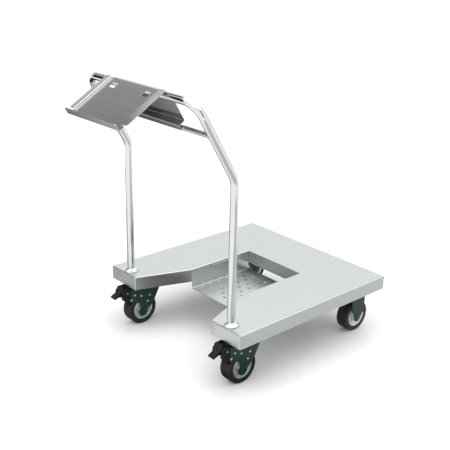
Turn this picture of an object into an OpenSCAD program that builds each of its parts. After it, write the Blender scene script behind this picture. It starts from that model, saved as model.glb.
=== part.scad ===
// Hotel luggage cart: a folded stainless steel deck with a foot notch and a perforated step well,
// a bent tube push handle with a document tray, two braked swivel casters under the handle end
// and two fixed casters under the front end.
// +X is forward, away from the handle, +Y is left and +Z is up. The floor is z = 0.

/* [Deck] */
// Length of the deck, from the handle edge to the front edge
deck_l = 755; // [640:5:960]
// Width across the deck
deck_w = 740; // [680:5:960]
// Depth of the folded skirt round the deck
skirt_h = 52; // [40:1:64]
// Thickness of the deck sheet
sheet_t = 2; // [1:0.1:3]

/* [Foot notch and step well] */
// Width of each deck arm's end face, beside the foot notch
arm_w = 149; // [120:1:180]
// Length of the tapered foot notch
notch_l = 217; // [175:1:262]
// Width of the step well between its side walls
well_w = 288; // [238:1:300]
// Length of the step well
well_l = 302; // [250:1:364]
// Depth of the step well's floor below the deck top
well_depth = 80; // [66:1:84]
// Thickness of the step pan sheet
pan_t = 2; // [1:0.1:3]
// Diameter of the drain holes in the step pan
drain_d = 13; // [8:0.5:16]
// Distance between drain holes along a row
drain_pitch = 43; // [34:1:52]
// Distance between rows of drain holes
drain_row = 32.5; // [26:0.5:36]

/* [Handle] */
// Diameter of the handle tube
tube_d = 28; // [24:1:34]
// Wall of the handle tube
tube_wall = 2; // [1:0.1:3]
// Distance of the posts from the deck's long edges
post_side = 82; // [75:1:118]
// Distance of the posts from the handle edge of the deck
post_inset = 31.5; // [31:0.5:36]
// Height of the bend in the posts above the deck
bend_up = 509; // [420:1:620]
// Height of the handle's top above the deck
handle_h = 790; // [740:1:950]
// Lean of the upper handle towards the user, in degrees
rake = 31; // [20:1:36]
// Centre line radius of the handle's bends
bend_r = 58; // [48:1:70]
// Diameter of the lower crossbar
bar_d = 19; // [16:1:23]
// Distance from the handle's top bar down to the lower crossbar, along the lean
bar_drop = 127; // [105:1:152]
// Diameter of the round collars at the feet of the posts
collar_d = 60; // [46:1:62]
// Height of the collars
collar_h = 14; // [10:1:18]

/* [Document tray] */
// Length of the tray from the handle's top bar to its front lip
tray_l = 192; // [160:1:230]
// Width of the tray between its side walls
tray_w = 256; // [214:1:300]
// Height of the tray's side walls, outside
tray_wall_h = 9; // [6:0.5:14]
// Width of the tray's turned out side flanges
tray_flange = 27; // [20:1:32]
// Height of the tray's front lip, outside
tray_lip_h = 27; // [20:1:34]
// How far the front lip reaches past each side wall
tray_ear = 12; // [8:1:16]
// Thickness of the tray and back plate sheet
tray_t = 1.5; // [1:0.1:2]
// Side of the two square windows at the back of the tray
window_side = 28; // [20:1:32]
// Distance between the centres of the two windows
window_gap = 172; // [140:1:206]
// Width of the back plate
back_w = 298; // [240:2:340]
// Height of the back plate's front hem, outside
hem_h = 21; // [16:1:25]

/* [Casters] */
// Height of a caster, from the floor to the top of its plate
caster_h = 178; // [166:1:214]
// Diameter of the wheels
wheel_d = 125; // [104:1:130]
// Width of the tyres
tyre_w = 50; // [42:1:52]
// Distance of the casters' centres from the deck's long edges
caster_side = 82; // [75:1:90]
// Distance of the rear wheels' axles from the handle edge
rear_axle_x = 69; // [64:1:82]
// Distance of the front axles from the front edge
front_axle_inset = 79; // [74:1:95]
// Distance that the rear wheels trail behind their kingpins
trail = 36; // [30:1:42]
// Length of the caster plates
plate_l = 110; // [104:1:116]
// Width of the caster plates
plate_w = 85; // [82:1:96]
// Thickness of the caster plates
plate_t = 4; // [3:0.5:6]
// Thickness of the fork sheet
fork_t = 3; // [2:0.5:4]
// Side gap between a tyre and its fork
wheel_gap = 3; // [2:0.5:5]
// Diameter of the axles
axle_d = 12; // [10:1:14]
// Diameter of the wheel cores
core_d = 88; // [76:1:96]
// Width of the brake pedals
pedal_w = 28; // [22:1:30]

/* [Fasteners] */
// Diameter of the caster bolts
bolt_d = 8; // [6:1:10]
// Diameter of the post bolts
post_bolt_d = 10; // [8:1:12]

/* [Hidden] */
$fn = 64;

cut = 1;                 // how far a cut runs past the face that it opens
run = 0.05;              // running clearance of a shaft, each side
slip = 0.25;             // clearance of a bolt in its hole, each side
hex_ratio = 2 / sqrt(3); // corner to corner over flat to flat

// Heights
deck_z = caster_h + skirt_h;
under_z = deck_z - sheet_t;
pan_z = deck_z - well_depth;

// Foot notch and well
mouth_y = deck_w / 2 - arm_w;
well_y = well_w / 2;
well_end = notch_l + well_l;
taper_y = sheet_t / cos(atan((mouth_y - well_y) / notch_l));

// Handle
top_r = tube_d / 2;
post_y = deck_w / 2 - post_side;
rise = handle_h - top_r - bend_up;
bar_x = post_inset - rise * tan(rake);
bar_z = deck_z + handle_h - top_r;
bend_tangent = bend_r * tan(rake / 2);
lean_l = rise / cos(rake);

// Document tray, in the leaning frame of the handle's top bar
tray_half = tray_w / 2;
ear_half = tray_half + tray_t + tray_ear;
flange_half = tray_half + tray_t + tray_flange;
side_front = tray_l - 22;
step_clear = 8;
hem_top = bar_drop - bar_d / 2 - step_clear - tray_t;
fold_r = 3;

// The lowest and highest X, which put the origin halfway between them
tip_x = bar_x - tray_l * cos(rake) - (top_r + tray_lip_h) * sin(rake);
shift_x = -(tip_x + deck_l) / 2;

// Casters
caster_y = deck_w / 2 - caster_side;
front_axle_x = deck_l - front_axle_inset;
axle_z = wheel_d / 2;
fork_in = tyre_w / 2 + wheel_gap;
fork_out = fork_in + fork_t;
plate_z = caster_h - plate_t;
bolt_x = plate_l / 2 - 10;
bolt_y = plate_w / 2 - 10.5;
ball_d = 7;
ball_path = 25;
ball_n = 16;
race_gap = 0.3;
crown_top = plate_z - ball_d - 2 * race_gap;
crown_boss = 3.5;
crown_z = crown_top - crown_boss;
kingpin_d = 12;
bearing_d = 32;
bearing_w = 10;
core_half = tyre_w / 2 + 0.5;
channel_l = plate_l;

// Brake, measured from the axle
tyre_gap = 4;
crown_up = crown_z - fork_t - axle_z;
pivot_x = -76;
pivot_up = crown_up - 9;
pivot_d = 6;
shoe_x = -52;
shoe_up = crown_up - 14;
shoe_gap = 2.5;
fork_back = -66;
fork_front = 80;
tread_angle = 28;

steel = "#c9ccce";
bright = "#dfe2e4";
zinc = "#b8bcbf";
fork_green = "#1f3a35";
black = "#1c1c1e";
rubber = "#26262a";
alloy = "#c4c7c9";

// --- placing -------------------------------------------------------------------------------

module on_floor(x = 0, y = 0, z = 0) {
    translate([shift_x + x, y, z]) children();
}

// The leaning frame: origin at the middle of the top bar, x away from the user, z along the lean
module leaning() {
    on_floor(bar_x, 0, bar_z) rotate([0, -rake, 0]) children();
}

// Runs a profile drawn in the x-z plane across the cart, centred on y = 0
module across(w) {
    translate([0, w / 2, 0]) rotate([90, 0, 0]) linear_extrude(w) children();
}

// A hexagonal bar along +Z, af wide across its flats
module hex(af, h) {
    cylinder(d = af * hex_ratio, h = h, $fn = 6);
}

// --- deck ----------------------------------------------------------------------------------

module deck_cut() {
    polygon([
        [-cut, mouth_y + cut * (mouth_y - well_y) / notch_l], [notch_l, well_y],
        [well_end, well_y], [well_end, -well_y],
        [notch_l, -well_y], [-cut, -mouth_y - cut * (mouth_y - well_y) / notch_l]
    ]);
}

module taper_skirt() {
    polygon([
        [0, mouth_y], [notch_l, well_y], [notch_l, well_y + taper_y], [0, mouth_y + taper_y]
    ]);
}

module deck_shell() {
    color(steel) on_floor() difference() {
        union() {
            translate([0, 0, under_z]) linear_extrude(sheet_t) difference() {
                translate([0, -deck_w / 2]) square([deck_l, deck_w]);
                deck_cut();
            }
            translate([0, 0, caster_h]) linear_extrude(skirt_h - sheet_t) {
                difference() {
                    translate([0, -deck_w / 2]) square([deck_l, deck_w]);
                    translate([sheet_t, sheet_t - deck_w / 2])
                        square([deck_l - 2 * sheet_t, deck_w - 2 * sheet_t]);
                    translate([-cut, -mouth_y]) square([cut + sheet_t, 2 * mouth_y]);
                }
                taper_skirt();
                mirror([0, 1]) taper_skirt();
                translate([well_end, -well_y - pan_t]) square([sheet_t, well_w + 2 * pan_t]);
            }
        }
        for (y = [-post_y, post_y])
            translate([post_inset, y, under_z - cut])
                cylinder(d = post_bolt_d + 2 * slip, h = sheet_t + 2 * cut);
    }
}

drain_n = floor((well_l - drain_d) / drain_pitch);
drain_rows = floor((well_y - drain_d) / drain_row);

module step_pan() {
    color(steel) on_floor() {
        translate([0, 0, pan_z - pan_t]) linear_extrude(pan_t) difference() {
            translate([notch_l, -well_y - pan_t]) square([well_l, well_w + 2 * pan_t]);
            for (row = [-drain_rows : drain_rows]) {
                odd = abs(row) % 2;
                for (k = [1 : drain_n - odd])
                    translate([notch_l + (k + odd / 2) * drain_pitch, row * drain_row])
                        circle(d = drain_d);
            }
        }
        for (y = [-well_y - pan_t, well_y])
            translate([notch_l, y, pan_z]) cube([well_l, pan_t, under_z - pan_z]);
    }
}

// A channel that carries a caster, open upwards and welded to the deck sheet by its edges
module channel(y0, y1, bolts_y) {
    difference() {
        translate([-channel_l / 2, y0, caster_h]) cube([channel_l, y1 - y0, skirt_h - sheet_t]);
        translate([sheet_t - channel_l / 2, y0 - cut, caster_h + sheet_t])
            cube([channel_l - 2 * sheet_t, y1 - y0 + 2 * cut, skirt_h]);
        for (y = bolts_y)
            at_bolts(y) translate([0, 0, caster_h - cut])
                cylinder(d = bolt_d + 2 * slip, h = sheet_t + 2 * cut);
    }
}

module at_bolts(y) {
    for (dx = [-bolt_x, bolt_x], dy = [-bolt_y, bolt_y]) translate([dx, y + dy, 0]) children();
}

module front_channel() {
    inner = deck_w / 2 - sheet_t;
    color(steel) on_floor(front_axle_x) channel(-inner, inner, [-caster_y, caster_y]);
}

module rear_channel(side) {
    color(steel) on_floor(rear_axle_x + trail)
        mirror([0, side < 0 ? 1 : 0, 0])
            channel(caster_y - plate_w / 2 - 8, deck_w / 2 - sheet_t, [caster_y]);
}

module post_doublers() {
    color(steel) for (y = [-post_y, post_y])
        on_floor(post_inset, y, under_z - 4) difference() {
            translate([-13, -30, 0]) cube([26, 60, 4]);
            translate([0, 0, -cut]) cylinder(d = post_bolt_d + 2 * slip, h = 4 + 2 * cut);
        }
}

// --- handle --------------------------------------------------------------------------------

// One side of the handle: post, lower bend, leaning leg and the bend into the top bar
module handle_side(d, over) {
    on_floor(post_inset, 0, deck_z - over)
        cylinder(d = d, h = bend_up - bend_tangent + over);
    on_floor(post_inset - bend_r, 0, deck_z + bend_up - bend_tangent)
        rotate([90, 0, 0]) rotate_extrude(angle = rake) translate([bend_r, 0]) circle(d = d);
    leaning() translate([0, 0, -lean_l + bend_tangent])
        cylinder(d = d, h = lean_l - bend_tangent - bend_r);
    leaning() translate([0, -bend_r, -bend_r]) rotate([90, 0, 90])
        rotate_extrude(angle = 90) translate([bend_r, 0]) circle(d = d);
}

module handle_run(d, over) {
    translate([0, post_y, 0]) handle_side(d, over);
    mirror([0, 1, 0]) translate([0, post_y, 0]) handle_side(d, over);
    leaning() translate([0, post_y - bend_r, 0]) rotate([90, 0, 0])
        cylinder(d = d, h = 2 * (post_y - bend_r));
}

module handle_tube() {
    $fn = 56;
    color(bright) difference() {
        handle_run(tube_d, 0);
        handle_run(tube_d - 2 * tube_wall, cut);
    }
}

module lower_crossbar() {
    color(bright) leaning() difference() {
        translate([0, post_y, -bar_drop]) rotate([90, 0, 0]) cylinder(d = bar_d, h = 2 * post_y);
        for (y = [-post_y, post_y]) translate([0, y, -bar_drop - tube_d])
            cylinder(d = tube_d, h = 2 * tube_d);
    }
}

// A domed collar with a flat rim, slipped over the foot of a post
module collar(side) {
    rim_h = 4;
    dome_r = (pow(collar_d / 2 - 2, 2) + pow(collar_h - rim_h, 2)) / (2 * (collar_h - rim_h));
    color(bright) on_floor(post_inset, side * post_y, deck_z) difference() {
        rotate_extrude() {
            square([collar_d / 2, rim_h]);
            intersection() {
                translate([0, collar_h - dome_r]) circle(r = dome_r);
                translate([0, rim_h]) square([collar_d / 2, collar_h]);
            }
        }
        translate([0, 0, -cut]) cylinder(d = tube_d + 0.2, h = collar_h + 2 * cut);
    }
}

module post_plugs() {
    plug_h = 34;
    color(zinc) for (y = [-post_y, post_y]) on_floor(post_inset, y, deck_z) difference() {
        cylinder(d = tube_d - 2 * tube_wall, h = plug_h);
        translate([0, 0, -cut]) cylinder(d = post_bolt_d, h = plug_h + 2 * cut);
    }
}

module post_bolts() {
    head_z = under_z - 4;
    color(zinc) for (y = [-post_y, post_y]) on_floor(post_inset, y, 0) {
        translate([0, 0, head_z - 2]) cylinder(d = 2.1 * post_bolt_d, h = 2);
        translate([0, 0, head_z - 2 - 0.65 * post_bolt_d]) hex(1.7 * post_bolt_d, 0.65 * post_bolt_d);
        translate([0, 0, head_z]) cylinder(d = post_bolt_d, h = deck_z - head_z + 28);
    }
}

// --- document tray -------------------------------------------------------------------------

module tray_plate_profile(x0, x1) {
    translate([x0, top_r]) square([x1 - x0, tray_t]);
}

// Front edge of the tray: the plate turns up through a small radius into the lip
module tray_lip_profile() {
    tray_plate_profile(fold_r - tray_l, -side_front);
    translate([-tray_l, top_r + fold_r]) square([tray_t, tray_lip_h - fold_r]);
    translate([fold_r - tray_l, top_r + fold_r]) intersection() {
        difference() {
            circle(r = fold_r);
            circle(r = fold_r - tray_t);
        }
        translate([-fold_r, -fold_r]) square(fold_r);
    }
}

// Back edge of the tray: the plate wraps a quarter of the top bar
module tray_wrap_profile() {
    tray_plate_profile(-side_front - cut, 0);
    intersection() {
        difference() {
            circle(r = top_r + tray_t);
            circle(r = top_r);
        }
        square(top_r + tray_t);
    }
}

module tray_side() {
    flange_z = top_r + tray_wall_h - tray_t;
    corner = 8;
    translate([-side_front, tray_half, top_r]) cube([side_front, tray_t, tray_wall_h]);
    translate([0, 0, flange_z]) linear_extrude(tray_t) {
        translate([-side_front, tray_half]) square([side_front, tray_t + tray_flange - corner]);
        translate([corner - side_front, tray_half])
            square([side_front - corner, tray_t + tray_flange]);
        translate([corner - side_front, flange_half - corner]) circle(r = corner);
    }
}

module document_tray() {
    color(steel) leaning() difference() {
        union() {
            across(2 * ear_half) tray_lip_profile();
            across(tray_w + 2 * tray_t) tray_wrap_profile();
            tray_side();
            mirror([0, 1, 0]) tray_side();
        }
        for (y = [-window_gap / 2, window_gap / 2])
            translate([1 - top_r - window_side, y - window_side / 2, top_r - cut])
                cube([window_side, window_side, tray_t + 2 * cut]);
    }
}

// The back plate hangs behind the top bar, steps forward over the lower crossbar and ends in a
// hem in front of it
module back_plate() {
    color(steel) leaning() across(back_w) {
        translate([top_r, -hem_top]) square([tray_t, hem_top]);
        translate([-bar_d / 2 - tray_t, -hem_top]) square([bar_d / 2 + 2 * tray_t + top_r, tray_t]);
        translate([-bar_d / 2 - tray_t, -hem_top - hem_h + tray_t]) square([tray_t, hem_h]);
    }
}

// --- caster fasteners ----------------------------------------------------------------------

CASTERS = [
    [rear_axle_x + trail, caster_y], [rear_axle_x + trail, -caster_y],
    [front_axle_x, caster_y], [front_axle_x, -caster_y]
];

module caster_bolts() {
    color(zinc) for (c = CASTERS) on_floor(c.x) at_bolts(c.y) {
        translate([0, 0, plate_z - 0.65 * bolt_d]) hex(1.625 * bolt_d, 0.65 * bolt_d);
        translate([0, 0, plate_z]) cylinder(d = bolt_d, h = plate_t + sheet_t + bolt_d + 2);
    }
}

module caster_nuts() {
    color(zinc) for (c = CASTERS) on_floor(c.x) at_bolts(c.y)
        translate([0, 0, caster_h + sheet_t]) difference() {
            hex(1.625 * bolt_d, 0.8 * bolt_d);
            translate([0, 0, -cut]) cylinder(d = bolt_d, h = bolt_d + 2 * cut);
        }
}

// --- casters -------------------------------------------------------------------------------
// Each caster is drawn about its axle's place on the floor, then put in place.

module rear(side) {
    on_floor(rear_axle_x, side * caster_y) children();
}

module front(side) {
    on_floor(front_axle_x, side * caster_y) children();
}

module along_y(d, y0, y1) {
    translate([0, y1, 0]) rotate([90, 0, 0]) cylinder(d = d, h = y1 - y0);
}

module plate_blank() {
    difference() {
        translate([-plate_l / 2, -plate_w / 2, plate_z]) cube([plate_l, plate_w, plate_t]);
        at_bolts(0) translate([0, 0, plate_z - cut])
            cylinder(d = bolt_d + 2 * slip, h = plate_t + 2 * cut);
    }
}

// Top plate of a swivel caster, with the cup that covers its ball race
module swivel_plate(side) {
    cup_r = 34;
    cup_t = 3;
    color(fork_green) rear(side) translate([trail, 0, 0]) difference() {
        union() {
            plate_blank();
            translate([0, 0, crown_z + 1]) difference() {
                cylinder(r = cup_r, h = plate_z - crown_z - 1);
                translate([0, 0, -cut]) cylinder(r = cup_r - cup_t, h = plate_z - crown_z - 1 + cut);
            }
        }
        translate([0, 0, plate_z - cut]) cylinder(d = kingpin_d, h = plate_t + 2 * cut);
    }
}

module kingpin(side) {
    head_h = 5;
    bottom = crown_z - fork_t;
    color(zinc) rear(side) translate([trail, 0, 0]) {
        translate([0, 0, bottom - race_gap - head_h]) cylinder(d = 22, h = head_h);
        translate([0, 0, bottom - race_gap]) cylinder(d = kingpin_d, h = caster_h - bottom + race_gap);
    }
}

module balls(side) {
    color(bright) rear(side) translate([trail, 0, crown_top + race_gap / 2 + ball_d / 2])
        for (k = [0 : ball_n - 1]) rotate([0, 0, k * 360 / ball_n])
            translate([ball_path, 0, 0]) sphere(d = ball_d);
}

// Cheek of a braked swivel fork, in the x-z plane about the axle
module swivel_cheek() {
    tip_r = 20;
    reach = crown_z - axle_z;
    difference() {
        union() {
            translate([-6, -7]) circle(r = tip_r);
            polygon([
                [fork_back, reach], [fork_back, 48], [-42, 40], [-19, 30], [-19, -4],
                [13, -9], [22, 1], [40, 13], [53, 34], [fork_front, reach]
            ]);
        }
        circle(d = axle_d + 2 * slip);
        for (p = RIVETS) translate(p) circle(d = rivet_d);
    }
}

rivet_d = 6;
RIVETS = [[-44, 72], [-14, 61], [27, 54], [-60, 56], [17, 30]];

module swivel_fork(side) {
    boss_r = 29;
    flare_r = 40;
    color(fork_green) rear(side) difference() {
        union() {
            for (y = [-fork_out, fork_in]) translate([0, y + fork_t, axle_z])
                rotate([90, 0, 0]) linear_extrude(fork_t) swivel_cheek();
            translate([0, 0, crown_z - fork_t]) linear_extrude(fork_t) {
                translate([fork_back, -fork_out]) square([fork_front - fork_back, 2 * fork_out]);
                translate([trail, 0]) circle(r = flare_r);
            }
            translate([trail, 0, crown_z]) cylinder(r = boss_r, h = crown_boss);
        }
        translate([trail, 0, crown_z - fork_t - cut])
            cylinder(d = kingpin_d + 2 * run, h = crown_boss + fork_t + 2 * cut);
    }
}

module rivets(side) {
    color(bright) rear(side) for (s = [-1, 1], p = RIVETS)
        translate([p.x, s * fork_out, axle_z + p.y]) rotate([s * -90, 0, 0]) {
            cylinder(d = 9.5, h = 1.2);
            translate([0, 0, 1.2]) cylinder(d1 = 9.5, d2 = 5.5, h = 1.2);
            translate([0, 0, -fork_t]) cylinder(d = rivet_d, h = fork_t);
        }
}

// Low headed axle bolt with its two spacers, which hold the bearings off the fork
module axle() {
    head_h = 2.5;
    color(zinc) translate([0, 0, axle_z]) {
        along_y(axle_d, -fork_out, fork_out + 0.95 * axle_d);
        along_y(1.7 * axle_d, -fork_out - head_h, -fork_out);
        for (s = [-1, 1]) difference() {
            along_y(axle_d + 6, min(s * (core_half + 0.2), s * fork_in),
                max(s * (core_half + 0.2), s * fork_in));
            along_y(axle_d, -fork_out, fork_out);
        }
    }
}

module axle_nut() {
    color(zinc) translate([0, fork_out, axle_z]) rotate([-90, 0, 0]) difference() {
        union() {
            cylinder(d = 2 * axle_d, h = 2);
            translate([0, 0, 2]) hex(1.58 * axle_d, 0.7 * axle_d);
        }
        translate([0, 0, -cut]) cylinder(d = axle_d, h = axle_d + 2 * cut);
    }
}

// Wheel core: rim, dished web, six ribs on each side and a hub that holds two bearings
module core() {
    rim_r = core_d / 2;
    rim_in = rim_r - 7;
    hub_r = bearing_d / 2 + 4;
    web_half = 4;
    color(alloy) translate([0, 0, axle_z]) difference() {
        union() {
            rotate([90, 0, 0]) rotate_extrude() {
                translate([rim_in, -core_half + 2]) square([rim_r - rim_in, 2 * core_half - 4]);
                translate([0, -core_half]) square([hub_r, 2 * core_half]);
                translate([hub_r - 1, -web_half]) square([rim_in - hub_r + 2, 2 * web_half]);
            }
            for (k = [0 : 5]) rotate([0, k * 60, 0])
                translate([hub_r - 1, -core_half + 5, -2]) cube([rim_in - hub_r + 2, 2 * core_half - 10, 4]);
        }
        along_y(axle_d + 6, -core_half - cut, core_half + cut);
        for (s = [-1, 1]) translate([0, s * core_half, 0]) along_y(bearing_d, -bearing_w, bearing_w);
    }
}

module bearings() {
    color(bright) translate([0, 0, axle_z]) for (s = [-1, 1]) {
        y0 = s > 0 ? core_half - bearing_w : -core_half;
        difference() {
            along_y(bearing_d, y0, y0 + bearing_w);
            along_y(axle_d + 2 * run, y0 - cut, y0 + bearing_w + cut);
        }
    }
}

module tyre() {
    edge_r = min(5, (wheel_d - core_d) / 4);
    color(rubber) translate([0, 0, axle_z]) rotate([90, 0, 0]) rotate_extrude() {
        translate([core_d / 2, -tyre_w / 2])
            square([wheel_d / 2 - edge_r - core_d / 2, tyre_w]);
        translate([wheel_d / 2 - edge_r - 1, edge_r - tyre_w / 2])
            square([edge_r + 1, tyre_w - 2 * edge_r]);
        for (y = [edge_r - tyre_w / 2, tyre_w / 2 - edge_r])
            translate([wheel_d / 2 - edge_r, y]) circle(r = edge_r);
    }
}

// --- brake ---------------------------------------------------------------------------------

// Moulded housing between the cheeks: it carries the pedal on a pin through its two arms
module housing(side) {
    arm_in = pedal_w / 2 + 0.5;
    half = fork_in - 0.5;
    top = crown_up - 0.5;
    bridge_t = 5;
    bridge_back = pivot_x + 12;
    color(black) rear(side) translate([0, 0, axle_z]) difference() {
        across(2 * half) difference() {
            polygon([
                [-94, top - 6], [-88, top], [-22, top], [-22, 48], [-66, 48], [-91, 59],
                [-96, 66], [-96, top - 14]
            ]);
            circle(r = wheel_d / 2 + tyre_gap);
            translate([pivot_x, pivot_up]) circle(d = pivot_d);
            translate([shoe_x, shoe_up]) circle(d = pivot_d);
        }
        translate([-150, -arm_in, 0]) cube([150, 2 * arm_in, top - bridge_t]);
        translate([-150, -arm_in, 0]) cube([150 + bridge_back, 2 * arm_in, 2 * top]);
    }
}

// Rocking pedal: a sloped tread, a release tab and a boss round its pin
module pedal(side) {
    color(black) rear(side) translate([0, 0, axle_z]) difference() {
        across(pedal_w) difference() {
            union() {
                polygon([
                    [-127, tread_z(-127)], [-125, tread_z(-127) - 7], [-100, tread_z(-100) - 12],
                    [pivot_x, pivot_up - 9], [pivot_x, pivot_up + 8], [-80, crown_up + 12],
                    [-87, crown_up + 12], [-89, tread_z(-91)], [-91, tread_z(-91)]
                ]);
                translate([pivot_x, pivot_up]) circle(r = 9);
            }
            translate([pivot_x, pivot_up]) circle(d = pivot_d + 2 * run);
        }
        for (x = [-122 : 7 : -98]) translate([x, -pedal_w / 2 - cut, tread_z(x) - 1.2])
            rotate([0, -tread_angle, 0]) cube([2.5, pedal_w + 2 * cut, 4]);
    }
}

// Height of the pedal's sloped tread at x
function tread_z(x) = crown_up - 2 + (x + 91) * tan(tread_angle);

module pins(side) {
    half = fork_in - 0.5;
    color(zinc) rear(side) translate([0, 0, axle_z]) {
        translate([pivot_x, 0, pivot_up]) along_y(pivot_d, -half - 1.5, half + 1.5);
        translate([shoe_x, 0, shoe_up]) along_y(pivot_d, -half, half);
    }
}

// Steel brake shoe: hangs on its pin over the tyre and presses on the tread
module shoe(side) {
    shoe_w = pedal_w - 2;
    shoe_r = wheel_d / 2 + shoe_gap;
    shoe_t = 4;
    far = 2 * shoe_r;
    color(zinc) rear(side) translate([0, 0, axle_z]) difference() {
        union() {
            translate([shoe_x, 0, shoe_up]) along_y(12, -shoe_w / 2, shoe_w / 2);
            across(shoe_w) polygon([
                [shoe_x - 5, shoe_up - 3], [shoe_x + 5, shoe_up - 3],
                (shoe_r + 2) * [cos(132), sin(132)], (shoe_r + 2) * [cos(148), sin(148)]
            ]);
            intersection() {
                difference() {
                    along_y(2 * (shoe_r + shoe_t), -shoe_w / 2, shoe_w / 2);
                    along_y(2 * shoe_r, -shoe_w / 2 - cut, shoe_w / 2 + cut);
                }
                across(shoe_w + 2 * cut)
                    polygon([[0, 0], far * [cos(157), sin(157)], far * [cos(126), sin(126)]]);
            }
        }
        translate([shoe_x, 0, shoe_up])
            along_y(pivot_d + 2 * run, -shoe_w / 2 - cut, shoe_w / 2 + cut);
    }
}

// --- fixed casters -------------------------------------------------------------------------

fixed_half = 36;

module fixed_cheek() {
    tip_r = 17;
    top = plate_z - axle_z;
    difference() {
        union() {
            translate([-2, -5]) circle(r = tip_r);
            polygon([
                [-fixed_half, top], [-fixed_half, 42], [-18, -4], [14, -9], [fixed_half, 14],
                [fixed_half, top]
            ]);
        }
        circle(d = axle_d + 2 * slip);
    }
}

module fixed_fork(side) {
    color(fork_green) front(side) {
        plate_blank();
        for (y = [-fork_out, fork_in]) translate([0, y + fork_t, axle_z])
            rotate([90, 0, 0]) linear_extrude(fork_t) fixed_cheek();
        translate([-fixed_half, -fork_out, plate_z - fork_t])
            cube([2 * fixed_half, 2 * fork_out, fork_t]);
    }
}

// --- nodes ---------------------------------------------------------------------------------

deck_shell();
step_pan();
front_channel();
rear_channel(1);  // rear_channel_left
rear_channel(-1);  // rear_channel_right
post_doublers();
handle_tube();
lower_crossbar();
collar(1);  // collar_left
collar(-1);  // collar_right
post_plugs();
post_bolts();
document_tray();
back_plate();
caster_bolts();
caster_nuts();
for (side = [1, -1]) {
    name = side > 0 ? "rear_left" : "rear_right";
    swivel_plate(side);
    kingpin(side);
    balls(side);
    swivel_fork(side);
    rivets(side);
    rear(side) axle();
    rear(side) axle_nut();
    rear(side) core();
    rear(side) bearings();
    rear(side) tyre();
    housing(side);
    pedal(side);
    pins(side);
    shoe(side);
}
for (side = [1, -1]) {
    name = side > 0 ? "front_left" : "front_right";
    fixed_fork(side);
    front(side) axle();
    front(side) axle_nut();
    front(side) core();
    front(side) bearings();
    front(side) tyre();
}
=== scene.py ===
"""Looks of a hotel luggage cart, built piece by piece round its packed CAD frame."""

import math

import bmesh
import bpy
from bpy.props import FloatProperty, FloatVectorProperty, PointerProperty
from bpy.types import Operator, Panel, PropertyGroup
from mathutils import Matrix, Vector


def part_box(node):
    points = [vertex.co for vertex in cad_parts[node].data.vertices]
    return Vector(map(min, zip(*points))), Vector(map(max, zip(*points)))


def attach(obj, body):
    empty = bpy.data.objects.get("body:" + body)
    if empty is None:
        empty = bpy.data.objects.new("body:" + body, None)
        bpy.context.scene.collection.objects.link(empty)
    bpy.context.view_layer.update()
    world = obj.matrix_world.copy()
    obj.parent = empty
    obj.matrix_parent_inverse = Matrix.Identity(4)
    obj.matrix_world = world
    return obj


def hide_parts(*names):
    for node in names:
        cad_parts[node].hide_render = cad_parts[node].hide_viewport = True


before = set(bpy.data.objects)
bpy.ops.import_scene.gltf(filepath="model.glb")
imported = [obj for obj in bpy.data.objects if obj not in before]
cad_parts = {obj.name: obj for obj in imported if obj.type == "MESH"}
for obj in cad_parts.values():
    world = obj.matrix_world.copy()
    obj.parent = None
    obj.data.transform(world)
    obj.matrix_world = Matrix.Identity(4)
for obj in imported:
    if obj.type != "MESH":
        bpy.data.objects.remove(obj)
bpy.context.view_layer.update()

bl_info = {
    "name": "Luggage cart",
    "version": (1, 0, 0),
    "blender": (4, 5, 0),
    "location": "View3D > Sidebar > Cart",
    "description": "Builds a steel luggage cart round its CAD frame",
    "category": "Object",
}

MM = 0.001

# --- places, in millimetres from the handle edge of the deck, the cart's middle and the floor ---

deck_lo, deck_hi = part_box("deck_shell")
pan_lo, pan_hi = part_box("step_pan")
tube_lo, tube_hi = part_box("handle_tube")
collar_lo, collar_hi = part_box("collar_left")
tyre_lo, tyre_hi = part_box("rear_left_tyre")
front_tyre_lo, front_tyre_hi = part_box("front_left_tyre")
kingpin_lo, kingpin_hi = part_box("rear_left_kingpin")
tray_lo, tray_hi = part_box("document_tray")
plate_lo, plate_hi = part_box("back_plate")


def along(x):
    """Distance of a frame X from the deck's handle edge, in millimetres."""
    return (x - deck_lo.x) / MM


def at(x, y, z):
    """Point in the frame, from millimetres along, across and up."""
    return Vector((deck_lo.x + x * MM, y * MM, z * MM))


DECK_L = along(deck_hi.x)
DECK_HALF = deck_hi.y / MM
DECK_TOP = deck_hi.z / MM
DECK_LOW = deck_lo.z / MM
SHEET = 2.0
ARM_W = 149.0
MOUTH_Y = DECK_HALF - ARM_W
NOTCH_L = along(pan_lo.x)
WELL_END = along(pan_hi.x)
WELL_Y = pan_hi.y / MM - SHEET
PAN_Z = pan_lo.z / MM + SHEET
DRAIN_D = 13.0
DRAIN_PITCH = 43.0
DRAIN_ROW = 32.5

TUBE_R = 14.0
RAKE = math.radians(31)
BEND_R = 58.0
POST_X = along((collar_lo.x + collar_hi.x) / 2)
POST_Y = tube_hi.y / MM - TUBE_R
BAR_Z = tube_hi.z / MM - TUBE_R
BAR_X = along(tube_lo.x) + TUBE_R
BEND_Z = BAR_Z - (POST_X - BAR_X) / math.tan(RAKE)
CROSSBAR_R = 9.5
CROSSBAR_DROP = 127.0

TRAY_L = 192.0
TRAY_HALF = 128.0
TRAY_T = 1.5
TRAY_WALL_H = 9.0
TRAY_LIP_H = 27.0
TRAY_FLANGE_Y = tray_hi.y / MM
LIP_HALF = TRAY_HALF + TRAY_T + 12.0
WINDOW = 28.0
WINDOW_Y = 86.0
BACK_HALF = plate_hi.y / MM
HEM_H = 21.0
STEP_CLEAR = 8.0

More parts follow.
